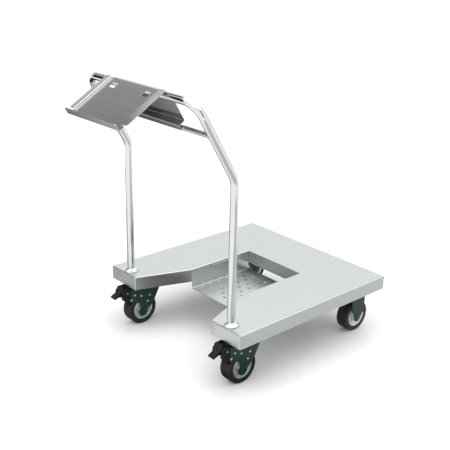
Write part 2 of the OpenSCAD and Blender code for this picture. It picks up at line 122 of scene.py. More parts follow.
CASTER_Y = (tyre_lo.y + tyre_hi.y) / 2 / MM
REAR_X = along((tyre_lo.x + tyre_hi.x) / 2)
FRONT_X = along((front_tyre_lo.x + front_tyre_hi.x) / 2)
KINGPIN_X = along((kingpin_lo.x + kingpin_hi.x) / 2)
WHEEL_R = (tyre_hi.z - tyre_lo.z) / 2 / MM
AXLE_Z = WHEEL_R
TYRE_HALF = (tyre_hi.y - tyre_lo.y) / 2 / MM
FORK_IN = TYRE_HALF + 3.0
FORK_T = 3.0
FORK_OUT = FORK_IN + FORK_T
PLATE_TOP = kingpin_hi.z / MM
PLATE_T = 4.0
PLATE_L = 110.0
PLATE_W = 85.0
BOLT_X = PLATE_L / 2 - 10
BOLT_Y = PLATE_W / 2 - 10.5
CROWN_Z = 162.9
CROWN_UP = CROWN_Z - FORK_T - AXLE_Z
CORE_R = 44.0
CORE_HALF = TYRE_HALF + 0.5
SIDES = {"left": 1, "right": -1}


def lean(u, y, w):
    """Point in the leaning handle's own frame: u forward of the top bar, w up along the lean."""
    x = BAR_X + u * math.cos(RAKE) - w * math.sin(RAKE)
    return at(x, y, BAR_Z + u * math.sin(RAKE) + w * math.cos(RAKE))


def caster(x, side):
    """Placing function for a caster: millimetres from its axle along, across and up."""
    return lambda dx, dy, dz: at(x + dx, side * CASTER_Y + dy, AXLE_Z + dz)


def rear_casters():
    """Name and placing function of each swivel caster."""
    return [(name, caster(REAR_X, side)) for name, side in SIDES.items()]


def wheels():
    """End, name and placing function of each wheel, turned so that heights run across."""
    for end, x in (("rear", REAR_X), ("front", FRONT_X)):
        for name, side in SIDES.items():
            yield end, name, turned(caster(x, side))


def turned(place):
    """Placing function for parts turned round an axle: (x, z, distance across)."""
    return lambda a, b, h: place(a, h, b)


def crosswise(place):
    """Placing function for outlines drawn from the side: (along, up, across)."""
    return lambda x, z, y: place(x, y, z)


# --- mesh tools ---


def arc(centre, radius, start, end, steps):
    """Points of a flat arc between two angles in degrees, both ends included."""
    turns = [math.radians(start + (end - start) * k / steps) for k in range(steps + 1)]
    return [(centre[0] + radius * math.cos(t), centre[1] + radius * math.sin(t)) for t in turns]


def oblong(low_x, low_y, high_x, high_y):
    """Corners of a rectangle."""
    return [(low_x, low_y), (high_x, low_y), (high_x, high_y), (low_x, high_y)]


def rounded(corners, steps=4):
    """Outline whose corners, given as (x, y, radius), are turned into arcs."""
    outline = []
    for k, (x, y, radius) in enumerate(corners):
        here = Vector((x, y))
        before = (Vector(corners[k - 1][:2]) - here).normalized()
        after = (Vector(corners[(k + 1) % len(corners)][:2]) - here).normalized()
        half = before.angle(after, math.pi) / 2
        if radius <= 0 or half > math.radians(89):
            outline.append((x, y))
            continue
        centre = here + (before + after).normalized() * (radius / math.sin(half))
        first = here + before * (radius / math.tan(half)) - centre
        last = here + after * (radius / math.tan(half)) - centre
        for s in range(steps + 1):
            spoke = first.lerp(last, s / steps).normalized() * radius
            outline.append(tuple(centre + spoke))
    return outline


def add_fill(bm, outlines, place):
    """Flat face with holes: the first outline is the edge, the others are holes."""
    edges = []
    for outline in outlines:
        ring = [bm.verts.new(place(*p)) for p in outline]
        edges += [bm.edges.new((ring[k - 1], ring[k])) for k in range(len(ring))]
    bmesh.ops.triangle_fill(bm, use_beauty=True, use_dissolve=False, edges=edges)


def add_strip(bm, profile, start, end, place):
    """Sheet run from start to end whose section is an open line of points."""
    rows = [[bm.verts.new(place(s, *p)) for p in profile] for s in (start, end)]
    for k in range(len(profile) - 1):
        bm.faces.new((rows[0][k], rows[0][k + 1], rows[1][k + 1], rows[1][k]))


def add_prism(bm, outline, low, high, place):
    """Solid whose outline is flat and whose depth runs from low to high."""
    rings = [[bm.verts.new(place(*p, s)) for p in outline] for s in (low, high)]
    for k in range(len(outline)):
        bm.faces.new((rings[0][k - 1], rings[0][k], rings[1][k], rings[1][k - 1]))
    bm.faces.new(rings[0][::-1])
    bm.faces.new(rings[1])


def add_lathe(bm, profile, place, steps=64, closed=False):
    """Turned shape: the profile is (radius, height) points, and place takes (x, y, height)."""
    rings = []
    for radius, height in profile:
        if radius < 1e-6:
            rings.append([bm.verts.new(place(0, 0, height))] * steps)
            continue
        ring = []
        for k in range(steps):
            turn = 2 * math.pi * k / steps
            ring.append(bm.verts.new(place(radius * math.cos(turn), radius * math.sin(turn), height)))
        rings.append(ring)
    pairs = list(zip(rings, rings[1:] + rings[:1])) if closed else list(zip(rings, rings[1:]))
    for a, b in pairs:
        for k in range(steps):
            corners = list(dict.fromkeys((a[k - 1], a[k], b[k], b[k - 1])))
            if len(corners) > 2:
                bm.faces.new(corners)


def add_tube(bm, path, radius, steps=48, capped=False):
    """Round bar or tube swept along points without twisting."""
    ahead = (path[1] - path[0]).normalized()
    side = ahead.orthogonal().normalized()
    rings = []
    for k, point in enumerate(path):
        nearby = path[min(k + 1, len(path) - 1)] - path[max(k - 1, 0)]
        turned = ahead.rotation_difference(nearby.normalized())
        side = turned @ side
        ahead = nearby.normalized()
        up = ahead.cross(side)
        ring = []
        for s in range(steps):
            turn = 2 * math.pi * s / steps
            offset = side * math.cos(turn) + up * math.sin(turn)
            ring.append(bm.verts.new(point + offset * radius * MM))
        rings.append(ring)
    for a, b in zip(rings, rings[1:]):
        for s in range(steps):
            bm.faces.new((a[s - 1], a[s], b[s], b[s - 1]))
    if capped:
        bm.faces.new(rings[0][::-1])
        bm.faces.new(rings[-1])


def add_bead(bm, path, radius, ripple):
    """Closed weld bead: a ring of ripples, as a row of overlapping puddles leaves."""
    count = len(path)
    rings = []
    for k, point in enumerate(path):
        ahead = (path[(k + 1) % count] - path[k - 1]).normalized()
        side = ahead.orthogonal().normalized()
        up = ahead.cross(side)
        size = radius * (1 + ripple * (k % 3 - 1)) * MM
        turns = [2 * math.pi * s / 8 for s in range(8)]
        offsets = [side * math.cos(t) + up * math.sin(t) for t in turns]
        rings.append([bm.verts.new(point + o * size) for o in offsets])
    for k in range(count):
        a, b = rings[k - 1], rings[k]
        shift = min(range(8), key=lambda s: (a[0].co - b[s].co).length)
        for s in range(8):
            bm.faces.new((a[s - 1], a[s], b[(s + shift) % 8], b[(s - 1 + shift) % 8]))


def add_hex(bm, size, height, place):
    """Hexagon head or nut, with its outer corners chamfered; place takes (x, y, height)."""
    corner = size / math.sqrt(3)
    levels = [(corner * 0.95, 0), (corner, 0.6), (corner, height - 0.9), (corner * 0.91, height)]
    add_lathe(bm, [(0, 0)] + levels + [(0, height)], place, steps=6)


def settle(obj):
    """Turns the modifiers of a piece into its mesh."""
    graph = bpy.context.evaluated_depsgraph_get()
    mesh = bpy.data.meshes.new_from_object(obj.evaluated_get(graph))
    obj.modifiers.clear()
    obj.data = mesh


def add_piece(name, bm, finish, body, nodes, sheet=0.0, edge=0.0, facing=None, smooth=38):
    """Makes an object of the mesh, folds in its sheet thickness and edge radius, and hangs it
    on its CAD body in place of its CAD nodes. Sheets thicken away from the facing direction."""
    bmesh.ops.remove_doubles(bm, verts=bm.verts, dist=0.01 * MM)
    bmesh.ops.recalc_face_normals(bm, faces=bm.faces)
    if facing is not None:
        widest = max(bm.faces, key=lambda f: f.calc_area())
        if widest.normal.dot(facing) < 0:
            bmesh.ops.reverse_faces(bm, faces=bm.faces)
    mesh = bpy.data.meshes.new(name)
    bm.to_mesh(mesh)
    bm.free()
    obj = bpy.data.objects.new(name, mesh)
    bpy.context.scene.collection.objects.link(obj)
    if sheet:
        shell = obj.modifiers.new("sheet", "SOLIDIFY")
        shell.thickness = sheet * MM
        shell.offset = -1
        shell.use_even_offset = True
    if edge:
        rim = obj.modifiers.new("edge", "BEVEL")
        rim.width = edge * MM
        rim.segments = 2
        rim.limit_method = "ANGLE"
        rim.angle_limit = math.radians(50)
        rim.use_clamp_overlap = True
    if obj.modifiers:
        settle(obj)
    obj.data.shade_smooth()
    obj.data.set_sharp_from_angle(angle=math.radians(smooth))
    even = obj.modifiers.new("even", "WEIGHTED_NORMAL")
    even.keep_sharp = True
    obj.data.materials.clear()
    obj.data.materials.append(finish)
    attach(obj, body)
    if nodes:
        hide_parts(*nodes)
    return obj


# --- finishes ---


def linear(code):
    """An sRGB hex colour as linear red, green, blue and alpha."""
    parts = [int(code[k : k + 2], 16) / 255 for k in (1, 3, 5)]
    parts = [c / 12.92 if c <= 0.04045 else ((c + 0.055) / 1.055) ** 2.4 for c in parts]
    return (*parts, 1.0)


def per_mm(size):
    """Texture scale, per metre, of a pattern whose features are this many millimetres apart."""
    return 1 / (size * MM)


def add_node(tree, kind, inputs=None, **settings):
    """Adds a shader node with its settings, and links or sets its inputs."""
    made = tree.nodes.new(kind)
    for name, value in settings.items():
        setattr(made, name, value)
    for name, value in (inputs or {}).items():
        if isinstance(value, bpy.types.NodeSocket):
            tree.links.new(value, made.inputs[name])
        else:
            made.inputs[name].default_value = value
    return made


def new_finish(name):
    """An empty material with its object coordinates, which are metres in the frame."""
    finish = bpy.data.materials.new(name)
    finish.use_nodes = True
    tree = finish.node_tree
    tree.nodes.clear()
    place = add_node(tree, "ShaderNodeTexCoord").outputs["Object"]
    return finish, tree, place


def spread(tree, place, size, detail, roughness=0.6):
    """Noise whose blots are this many millimetres across in x, y and z."""
    sizes = size if isinstance(size, tuple) else (size,) * 3
    scale = tuple(per_mm(s) for s in sizes)
    scaled = add_node(tree, "ShaderNodeMapping", {"Vector": place, "Scale": scale}).outputs["Vector"]
    blots = {"Vector": scaled, "Scale": 1.0, "Detail": detail, "Roughness": roughness}
    return add_node(tree, "ShaderNodeTexNoise", blots).outputs["Fac"]


def toned(colour, share, lift=0.0):
    """A colour made darker or paler by a share."""
    return tuple(min(1.0, c * share + lift) for c in colour[:3]) + (1.0,)


def close_finish(finish, tones, fade, matt, haze, skin, extra):
    """Ends a material in one Principled shader. The colour goes from the first tone to the second,
    and the roughness from the first value of matt to the second, as the patterns in fade and haze
    rise from start to end. Each layer of the skin is raised by a depth in millimetres."""
    tree = finish.node_tree
    shares = []
    for (pattern, start, end), (low, high) in ((fade, (0, 1)), (haze, matt)):
        ends = {"From Min": start, "From Max": end, "To Min": low, "To Max": high}
        shares.append(add_node(tree, "ShaderNodeMapRange", {"Value": pattern, **ends}))
    mix = {"Factor": shares[0].outputs["Result"], 6: tones[0], 7: tones[1]}
    colour = add_node(tree, "ShaderNodeMix", mix, data_type="RGBA").outputs[2]
    surface = {"Base Color": colour, "Roughness": shares[1].outputs["Result"], **extra}
    for height, depth, strength in skin:
        bump = {"Height": height, "Distance": depth * MM, "Strength": strength}
        if "Normal" in surface:
            bump["Normal"] = surface["Normal"]
        surface["Normal"] = add_node(tree, "ShaderNodeBump", bump).outputs["Normal"]
    shader = add_node(tree, "ShaderNodeBsdfPrincipled", surface)
    add_node(tree, "ShaderNodeOutputMaterial", {"Surface": shader.outputs["BSDF"]})
    return finish


def brushed_stainless(name, colour, grain, matt):
    """Stainless sheet, belt brushed: long fine scratches along grain draw the light out into soft
    streaks, and handling leaves faint cloudy smears. Real scratches are about 0.1 mm apart; these
    are drawn 1.6 mm apart so that they show."""
    finish, tree, place = new_finish(name)
    streaks = spread(tree, place, tuple(240.0 if axis == grain else 1.6 for axis in "XYZ"), 4.0)
    bands = spread(tree, place, tuple(900.0 if axis == grain else 7.0 for axis in "XYZ"), 2.0)
    smears = spread(tree, place, 95.0, 4.0)
    streaked = add_node(tree, "ShaderNodeMath", {0: streaks, 1: bands}, operation="ADD").outputs[0]
    patchy = add_node(tree, "ShaderNodeMath", {0: streaked, 1: smears}, operation="ADD").outputs[0]
    return close_finish(
        finish, (toned(colour, 0.95), colour), (streaked, 0.75, 1.25), (matt - 0.03, matt + 0.03),
        (patchy, 1.1, 1.9), [(streaks, 0.004, 0.14)], {"Metallic": 1.0},
    )


def polished_tube(name, colour):
    """Mirror polished stainless tube: sharp reflections, broken only by faint polishing lines
    round the tube and by dull finger smears."""
    finish, tree, place = new_finish(name)
    smears = spread(tree, place, (30.0, 30.0, 70.0), 5.0)
    lines = spread(tree, place, (30.0, 30.0, 1.2), 2.0)
    return close_finish(
        finish, (colour, toned(colour, 1.06)), (smears, 0.3, 0.7), (0.04, 0.12),
        (smears, 0.3, 0.7), [(lines, 0.01, 0.15)], {"Metallic": 1.0},
    )


def stove_enamel(name, colour):
    """Dark green stove enamel sprayed on pressed steel: an orange peel skin 1.5 mm across softens
    its gloss, and dust dulls it in patches."""
    finish, tree, place = new_finish(name)
    peel = spread(tree, place, 1.5, 2.0)
    dust = spread(tree, place, 14.0, 5.0)
    return close_finish(
        finish, (colour, toned(colour, 1.3, 0.002)), (dust, 0.35, 0.75), (0.34, 0.5),
        (dust, 0.3, 0.7), [(peel, 0.05, 0.4)],
        {"Specular IOR Level": 0.3, "Coat Weight": 0.08, "Coat Roughness": 0.25},
    )


def zinc_plating(name, colour):
    """Bright zinc plating: small spangles a few millimetres across, each a slightly other grey."""
    finish, tree, place = new_finish(name)
    scale = (per_mm(2.5),) * 3
    scaled = add_node(tree, "ShaderNodeMapping", {"Vector": place, "Scale": scale}).outputs["Vector"]
    spangle = add_node(tree, "ShaderNodeTexVoronoi", {"Vector": scaled, "Scale": 1.0})
    shade = add_node(tree, "ShaderNodeSeparateColor", {"Color": spangle.outputs["Color"]})
    haze = spread(tree, place, 6.0, 3.0)
    return close_finish(
        finish, (toned(colour, 0.78), colour), (shade.outputs["Red"], 0.0, 1.0), (0.24, 0.4),
        (haze, 0.3, 0.7), [(haze, 0.03, 0.3)], {"Metallic": 1.0},
    )


def cast_aluminium(name, colour):
    """Die cast aluminium left as cast: a fine sandy grain, and mottling where the metal chilled."""
    finish, tree, place = new_finish(name)
    grain = spread(tree, place, 0.9, 3.0)
    mottle_and_painted_glints = spread(tree, place, 6.0, 4.0)
    # the blotches' dark and pale tones are painted glints as well as cast mottling
    return close_finish(
        finish, (toned(colour, 0.4), colour), (mottle_and_painted_glints, 0.3, 0.7), (0.26, 0.5),
        (mottle_and_painted_glints, 0.3, 0.7), [(grain, 0.12, 0.5), (mottle_and_painted_glints, 1.1, 0.8)], {"Metallic": 0.8},
    )


def moulded_rubber(name, colour):
    """Moulded black rubber tyre: matt, finely pitted, and browned in patches by floor dust."""
    finish, tree, place = new_finish(name)
    pits = spread(tree, place, 0.8, 3.0)
    dust = spread(tree, place, 17.0, 5.0)
    return close_finish(
        finish, (colour, linear("#262220")), (dust, 0.4, 0.8), (0.5, 0.72),
        (dust, 0.3, 0.7), [(pits, 0.1, 0.45)], {"Specular IOR Level": 0.4},
    )


def moulded_nylon(name, colour):
    """Moulded black nylon: an even spark textured skin with a low sheen and a few scuffs."""
    finish, tree, place = new_finish(name)
    skin = spread(tree, place, 0.7, 2.0)
    scuffs = spread(tree, place, (4.0, 26.0, 4.0), 4.0)
    return close_finish(
        finish, (colour, linear("#18181a")), (scuffs, 0.5, 0.8), (0.42, 0.6),
        (scuffs, 0.3, 0.7), [(skin, 0.06, 0.5)], {"Specular IOR Level": 0.3},
    )


def blackened_steel(name, colour):
    """Phosphate blackened steel: a dull charcoal skin that is rubbed paler in small patches."""
    finish, tree, place = new_finish(name)
    rubbed = spread(tree, place, 5.0, 4.0)
    grain = spread(tree, place, 0.8, 2.0)
    return close_finish(
        finish, (colour, toned(colour, 2.2)), (rubbed, 0.5, 0.8), (0.5, 0.38),
        (rubbed, 0.3, 0.7), [(grain, 0.04, 0.4)], {"Metallic": 0.6},
    )


def weld_metal(name, colour):
    """Stainless weld bead: rippled every millimetre and slightly straw coloured by heat."""
    finish, tree, place = new_finish(name)
    ripple = spread(tree, place, 1.1, 2.0)
    heat = spread(tree, place, 5.0, 3.0)
    return close_finish(
        finish, (colour, linear("#a8977c")), (heat, 0.45, 0.8), (0.22, 0.36),
        (heat, 0.3, 0.7), [(ripple, 0.1, 0.5)], {"Metallic": 1.0},
    )


def studio_floor(name, colour):
    """Pale matt painted studio floor: almost even, with a very fine roller texture."""
    finish, tree, place = new_finish(name)
    roller = {"Height": spread(tree, place, 3.0, 2.0), "Distance": 0.05 * MM, "Strength": 0.1}
    normal = add_node(tree, "ShaderNodeBump", roller).outputs["Normal"]
    surface = {"Base Color": colour, "Roughness": 0.9, "Specular IOR Level": 0.2, "Normal": normal}
    shader = add_node(tree, "ShaderNodeBsdfPrincipled", surface)
    add_node(tree, "ShaderNodeOutputMaterial", {"Surface": shader.outputs["BSDF"]})
    return finish


def finish_of(kind):
    """The named finish, made once, in the colour that the panel holds."""
    if kind in bpy.data.materials:
        return bpy.data.materials[kind]
    tones = bpy.context.scene.cart_finishes
    make, tone, *rest = {
        "brushed_stainless_deck": (brushed_stainless, tones.deck, "X", 0.3),
        "brushed_stainless_side": (brushed_stainless, tones.deck, "Y", 0.28),
        "bright_stainless_tray": (brushed_stainless, tones.tray, "Y", 0.2),
        "polished_stainless_tube": (polished_tube, tones.tube),
        "green_stove_enamel": (stove_enamel, tones.enamel),
        "bright_zinc_plating": (zinc_plating, tones.zinc),
        "cast_aluminium": (cast_aluminium, tones.alloy),
        "moulded_black_rubber": (moulded_rubber, tones.rubber),
        "moulded_black_nylon": (moulded_nylon, tones.nylon),
        "blackened_steel": (blackened_steel, tones.shoe),
        "stainless_weld": (weld_metal, tones.weld),
        "pale_studio_floor": (studio_floor, tones.floor),
    }[kind]
    return make(kind, tuple(tone), *rest)


# --- deck ---


def make_deck():
    """Folded deck sheet: top, skirts, tapered notch skirts and the lip over the step pan."""
    sizes = bpy.context.scene.cart_sizes
    lip = sizes.well_lip / MM
    outline = [
        (0, -DECK_HALF), (DECK_L, -DECK_HALF), (DECK_L, DECK_HALF), (0, DECK_HALF),
        (0, MOUTH_Y), (NOTCH_L, WELL_Y), (WELL_END, WELL_Y), (WELL_END, -WELL_Y),
        (NOTCH_L, -WELL_Y), (0, -MOUTH_Y),
    ]
    well_edges = (5, 7)
    bm = bmesh.new()
    top = [bm.verts.new(at(x, y, DECK_TOP)) for x, y in outline]
    bm.faces.new(top)
    lower = {}
    for k, (x, y) in enumerate(outline):
        for deep in (DECK_LOW, DECK_TOP - lip):
            lower[k, deep] = bm.verts.new(at(x, y, deep))
    folds = []
    for k in range(len(outline)):
        after = (k + 1) % len(outline)
        deep = DECK_TOP - lip if k in well_edges else DECK_LOW
        bm.faces.new((top[k], lower[k, deep], lower[after, deep], top[after]))
        folds.append(bm.edges.get((top[k], top[after])))
    for k in range(len(outline)):
        seam = bm.edges.get((top[k], lower[k, DECK_LOW]))
        if seam and len(seam.link_faces) == 2:
            folds.append(seam)
    bmesh.ops.delete(bm, geom=[v for v in bm.verts if not v.link_faces], context="VERTS")
    bmesh.ops.recalc_face_normals(bm, faces=bm.faces)
    bmesh.ops.bevel(
        bm, geom=folds, offset=sizes.fold, segments=5, profile=0.5, affect="EDGES"
    )
    add_piece(
        "deck_sheet", bm, finish_of("brushed_stainless_deck"), "root",
        ["deck_shell"], sheet=SHEET, edge=0.4, facing=Vector((0, 0, 1)),
    )


def make_pan():
    """Step pan: perforated floor, folded up into two side walls."""
    sizes = bpy.context.scene.cart_sizes
    fold = sizes.pan_fold / MM
    wall_top = DECK_TOP - sizes.well_lip / MM - 0.4
    bm = bmesh.new()
    flat = WELL_Y - fold
    edge = oblong(NOTCH_L, -flat, WELL_END, flat)
    holes = []
    rows = int((WELL_Y - DRAIN_D) // DRAIN_ROW)
    count = int((WELL_END - NOTCH_L - DRAIN_D) // DRAIN_PITCH)
    for row in range(-rows, rows + 1):
        odd = abs(row) % 2
        for k in range(1, count - odd + 1):
            centre = (NOTCH_L + (k + odd / 2) * DRAIN_PITCH, row * DRAIN_ROW)
            holes.append(arc(centre, DRAIN_D / 2, 0, 360, 28)[:-1])
    add_fill(bm, [edge, *holes], lambda x, y: at(x, y, PAN_Z))
    for side in SIDES.values():
        bend = arc((flat, PAN_Z + fold), fold, -90, 0, 6)
        profile = [(side * y, z) for y, z in bend] + [(side * WELL_Y, wall_top)]
        add_strip(bm, profile, NOTCH_L, WELL_END, at)
    add_piece(
        "step_pan_sheet", bm, finish_of("brushed_stainless_deck"), "root",
        ["step_pan"], sheet=SHEET, edge=0.5, facing=Vector((0, 0, 1)),
    )


def make_channels():
    """Folded channels under the deck that carry the casters."""
    sizes = bpy.context.scene.cart_sizes
    for name, middle in (
        ("front_channel", FRONT_X), ("rear_channel_left", KINGPIN_X), ("rear_channel_right", KINGPIN_X),
    ):
        low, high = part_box(name)
        bm = bmesh.new()
        half, fold = PLATE_L / 2, sizes.fold / MM
        left = [(-half, DECK_TOP - SHEET)] + arc((-half + fold, DECK_LOW + fold), fold, 180, 270, 5)
        right = arc((half - fold, DECK_LOW + fold), fold, 270, 360, 5) + [(half, DECK_TOP - SHEET)]
        add_strip(
            bm, left + right, low.y / MM, high.y / MM,
            lambda y, x, z, middle=middle: at(middle + x, y, z),
        )
        add_piece(
            name + "_fold", bm, finish_of("brushed_stainless_side"), "root",
            [name], sheet=SHEET, edge=0.4, facing=Vector((0, 0, -1)),
        )


# --- handle ---


def handle_path():
    """Centre line of the bent tube, from the foot of one post to the foot of the other."""
    tangent = BEND_R * math.tan(RAKE / 2)
    half = [at(POST_X, POST_Y, DECK_TOP), at(POST_X, POST_Y, BEND_Z - tangent - 1)]
    for x, z in arc((POST_X - BEND_R, BEND_Z - tangent), BEND_R, 0, math.degrees(RAKE), 14):
        half.append(at(x, POST_Y, z))
    half.append(lean(0, POST_Y, -BEND_R - 1))
    for y, w in arc((POST_Y - BEND_R, -BEND_R), BEND_R, 0, 90, 30):
        half.append(lean(0, y, w))
    return half + [Vector((p.x, -p.y, p.z)) for p in reversed(half)]


def make_handle():
    """Push handle: one polished tube, bent in a smooth run from foot to foot."""
    bm = bmesh.new()
    add_tube(bm, handle_path(), TUBE_R, steps=64)
    add_piece(
        "handle_bent_tube", bm, finish_of("polished_stainless_tube"), "root",
        ["handle_tube"], smooth=60,
    )


def make_crossbar():
    """Lower crossbar, with the fillet welds that join it to the leaning legs."""
    sizes = bpy.context.scene.cart_sizes
    bm = bmesh.new()
    reach = POST_Y - TUBE_R + 2
    stops = [-reach + 2 * reach * k / 12 for k in range(13)]
    add_tube(bm, [lean(0, y, -CROSSBAR_DROP) for y in stops], CROSSBAR_R, steps=48)
    add_piece(
        "lower_crossbar_tube", bm, finish_of("polished_stainless_tube"), "root",
        ["lower_crossbar"], smooth=60,
    )
    bead = sizes.weld / MM
    ring = CROSSBAR_R + bead * 0.3
    bm = bmesh.new()
    for side in SIDES.values():
        path = []
        for k in range(60):
            turn = 2 * math.pi * k / 60
            u, w = ring * math.cos(turn), ring * math.sin(turn)
            y = POST_Y - math.sqrt((TUBE_R + bead * 0.3) ** 2 - u * u)
            path.append(lean(u, side * y, w - CROSSBAR_DROP))
        add_bead(bm, path, bead, 0.12)
    add_piece("crossbar_welds", bm, finish_of("stainless_weld"), "root", [])


def make_collars():
    """Spun collars over the feet of the posts: flat rim, rolled edge and low dome."""
    radius = (collar_hi.x - collar_lo.x) / 2 / MM
    dome = (collar_hi.z - collar_lo.z) / MM
    rim = 4.0
    for name, side in SIDES.items():
        profile = [(radius - 1.2, 0)] + arc((radius - 1.2, 1.2), 1.2, -90, 0, 4)
        profile += [(radius, rim - 1.0)] + arc((radius - 1.0, rim - 1.0), 1.0, 0, 90, 4)[1:]
        shoulder = radius - 3.0
        for k in range(13):
            share = k / 12
            reach = shoulder + (TUBE_R + 1.2 - shoulder) * share
            profile.append((reach, rim + (dome - rim) * math.sin(share * math.pi / 2) ** 0.9))
        profile += [(TUBE_R + 0.5, dome - 0.1), (TUBE_R + 0.1, dome - 0.8), (TUBE_R + 0.1, 0)]
        bm = bmesh.new()
        add_lathe(
            bm, profile, lambda x, y, z, side=side: at(POST_X + x, side * POST_Y + y, DECK_TOP + z), 96,
            closed=True,
        )
        add_piece(
            f"spun_collar_{name}", bm, finish_of("polished_stainless_tube"), "root",
            [f"collar_{name}"], smooth=50,
        )


# --- document tray ---


def make_tray():
    """Folded document tray: floor with two windows, front lip, side walls with flanges, and the
    edge wrapped over the top bar."""
    sizes = bpy.context.scene.cart_sizes
    inner, outer = 1.5, 3.0
    floor = TUBE_R + TRAY_T
    front = inner + TRAY_T - TRAY_L
    side_front = 22.0 - TRAY_L
    flat = TRAY_HALF - inner
    brim = TUBE_R + TRAY_WALL_H
    bm = bmesh.new()
    edge = [
        (front, -LIP_HALF), (side_front, -LIP_HALF), (side_front, -flat), (0, -flat),
        (0, flat), (side_front, flat), (side_front, LIP_HALF), (front, LIP_HALF),
    ]
    windows = []
    for y in (-WINDOW_Y, WINDOW_Y):
        near = 1 - TUBE_R
        corners = oblong(near - WINDOW, y - WINDOW / 2, near, y + WINDOW / 2)
        windows.append(rounded([(*c, 2.0) for c in corners]))
    add_fill(bm, [edge, *windows], lambda u, y: lean(u, y, floor))
    bend = arc((front, floor + inner), inner, 270, 180, 5)
    add_strip(bm, bend, -LIP_HALF, LIP_HALF, lambda y, u, w: lean(u, y, w))
    lip_top = TUBE_R + TRAY_LIP_H
    lip = rounded(
        [
            (-LIP_HALF, floor + inner, 0), (LIP_HALF, floor + inner, 0),
            (LIP_HALF, lip_top, 7.0), (-LIP_HALF, lip_top, 7.0),
        ]
    )
    add_fill(bm, [lip], lambda y, w: lean(TRAY_T - TRAY_L, y, w))
    for side in SIDES.values():
        profile = arc((flat, floor + inner), inner, -90, 0, 5)
        profile += arc((TRAY_HALF + outer, brim - outer), outer, 180, 90, 5)
        add_strip(bm, profile, side_front, 0, lambda u, y, w, side=side: lean(u, side * y, w))
        flange = rounded(
            [
                (side_front, TRAY_HALF + outer, 0), (0, TRAY_HALF + outer, 0),
                (0, TRAY_FLANGE_Y, 1.0), (side_front, TRAY_FLANGE_Y, 8.0),
            ],
            6,
        )
        start = TRAY_HALF + outer
        add_fill(
            bm, [flange],
            lambda u, y, side=side: lean(u, side * y, brim - (y - start) * sizes.flange_drop),
        )
    wrap = [(u, w) for w, u in arc((0, 0), floor, 0, 90, 10)]
    add_strip(bm, wrap, -flat, flat, lambda y, u, w: lean(u, y, w))
    up = lean(0, 0, 1) - lean(0, 0, 0)
    add_piece(
        "document_tray_fold", bm, finish_of("bright_stainless_tray"), "root",
        ["document_tray"], sheet=TRAY_T, edge=0.3, facing=up,
    )


def make_back_plate():
    """Back plate behind the top bar: it steps forward over the crossbar into a hem."""
    inner, outer = 2.0, 3.0
    step = -(CROSSBAR_DROP - CROSSBAR_R - STEP_CLEAR)
    front = -CROSSBAR_R - TRAY_T
    profile = [(TUBE_R, 0), (TUBE_R, step / 2)]
    profile += arc((TUBE_R - inner, step + inner), inner, 0, -90, 5)
    profile += arc((front + outer, step - outer), outer, 90, 180, 5)
    profile += [(front, step - HEM_H)]
    bm = bmesh.new()
    add_strip(bm, profile, -BACK_HALF, BACK_HALF, lambda y, u, w: lean(u, y, w))
    back = lean(0, 0, 0) - lean(1, 0, 0)
    add_piece(
        "back_plate_fold", bm, finish_of("bright_stainless_tray"), "root",
        ["back_plate"], sheet=TRAY_T, edge=0.3, facing=back,
    )


# --- casters ---


def fork_sheet(bm, place, back, front, top, cheek):
    """Pressed fork: crown or bridge folded down into two cheeks with this outline."""
    fold, drop = 6.0, 8.0
    seam = top - fold - drop
    half = FORK_OUT - fold
    left = [(-FORK_OUT, seam)] + arc((-half, top - fold), fold, 180, 90, 6)
    right = arc((half, top - fold), fold, 90, 0, 6) + [(FORK_OUT, seam)]
    add_strip(bm, left + right, back, front, place)
    for side in SIDES.values():
        add_fill(bm, [cheek(seam)], lambda x, z, side=side: place(x, side * FORK_OUT, z))


def swivel_cheek(back, front):
    """Outline of a braked swivel cheek below the height of its seam."""

    def outline(seam):
        foot = arc((-6, -7), 20, 170, 355, 14)
        upper = [(13, -9, 1), (22, 1, 3), (40, 13, 8), (53, 34, 8), (front, seam, 0)]
        lower = [(back, seam, 0), (back, 48, 4), (-42, 40, 8), (-19, 30, 8), (-19, 4, 0)]
        corners = rounded(upper + lower)
        return corners + foot

    return outline


def fixed_cheek(half):
    """Outline of a fixed cheek below the height of its seam."""

    def outline(seam):
        foot = arc((-2, -5), 17, 180, 350, 14)
        upper = [(14.5, -8, 0), (half, 14, 6), (half, seam, 0)]
        lower = [(-half, seam, 0), (-half, 42, 12), (-18, 2, 0)]
        return rounded(upper + lower) + foot

    return outline


def add_plate(bm, place):
    """Caster top plate, with its rounded corners."""
    corners = oblong(-PLATE_L / 2, -PLATE_W / 2, PLATE_L / 2, PLATE_W / 2)
    blank = rounded([(*c, 8.0) for c in corners], 6)
    top = PLATE_TOP - AXLE_Z
    add_prism(bm, blank, top - PLATE_T, top, place)


def make_plates():
    """Top plates of the swivel casters, with the cup over the ball race."""
    trail = KINGPIN_X - REAR_X
    low = CROWN_Z + 1 - AXLE_Z
    top = PLATE_TOP - PLATE_T - AXLE_Z
    for name, place in rear_casters():
        bm = bmesh.new()
        add_plate(bm, lambda x, y, z: place(trail + x, y, z))
        cup = [(31, top), (31, low + 1)] + arc((32.5, low + 1.5), 1.5, 200, 360, 6) + [(34, top - 2)]
        cup += arc((36, top - 2), 2, 180, 90, 4)
        add_lathe(bm, cup, lambda x, y, z: place(trail + x, y, z), 72)
        add_piece(
            f"swivel_top_plate_{name}", bm, finish_of("green_stove_enamel"), "root",
            [f"rear_{name}_plate"], edge=0.7,
        )


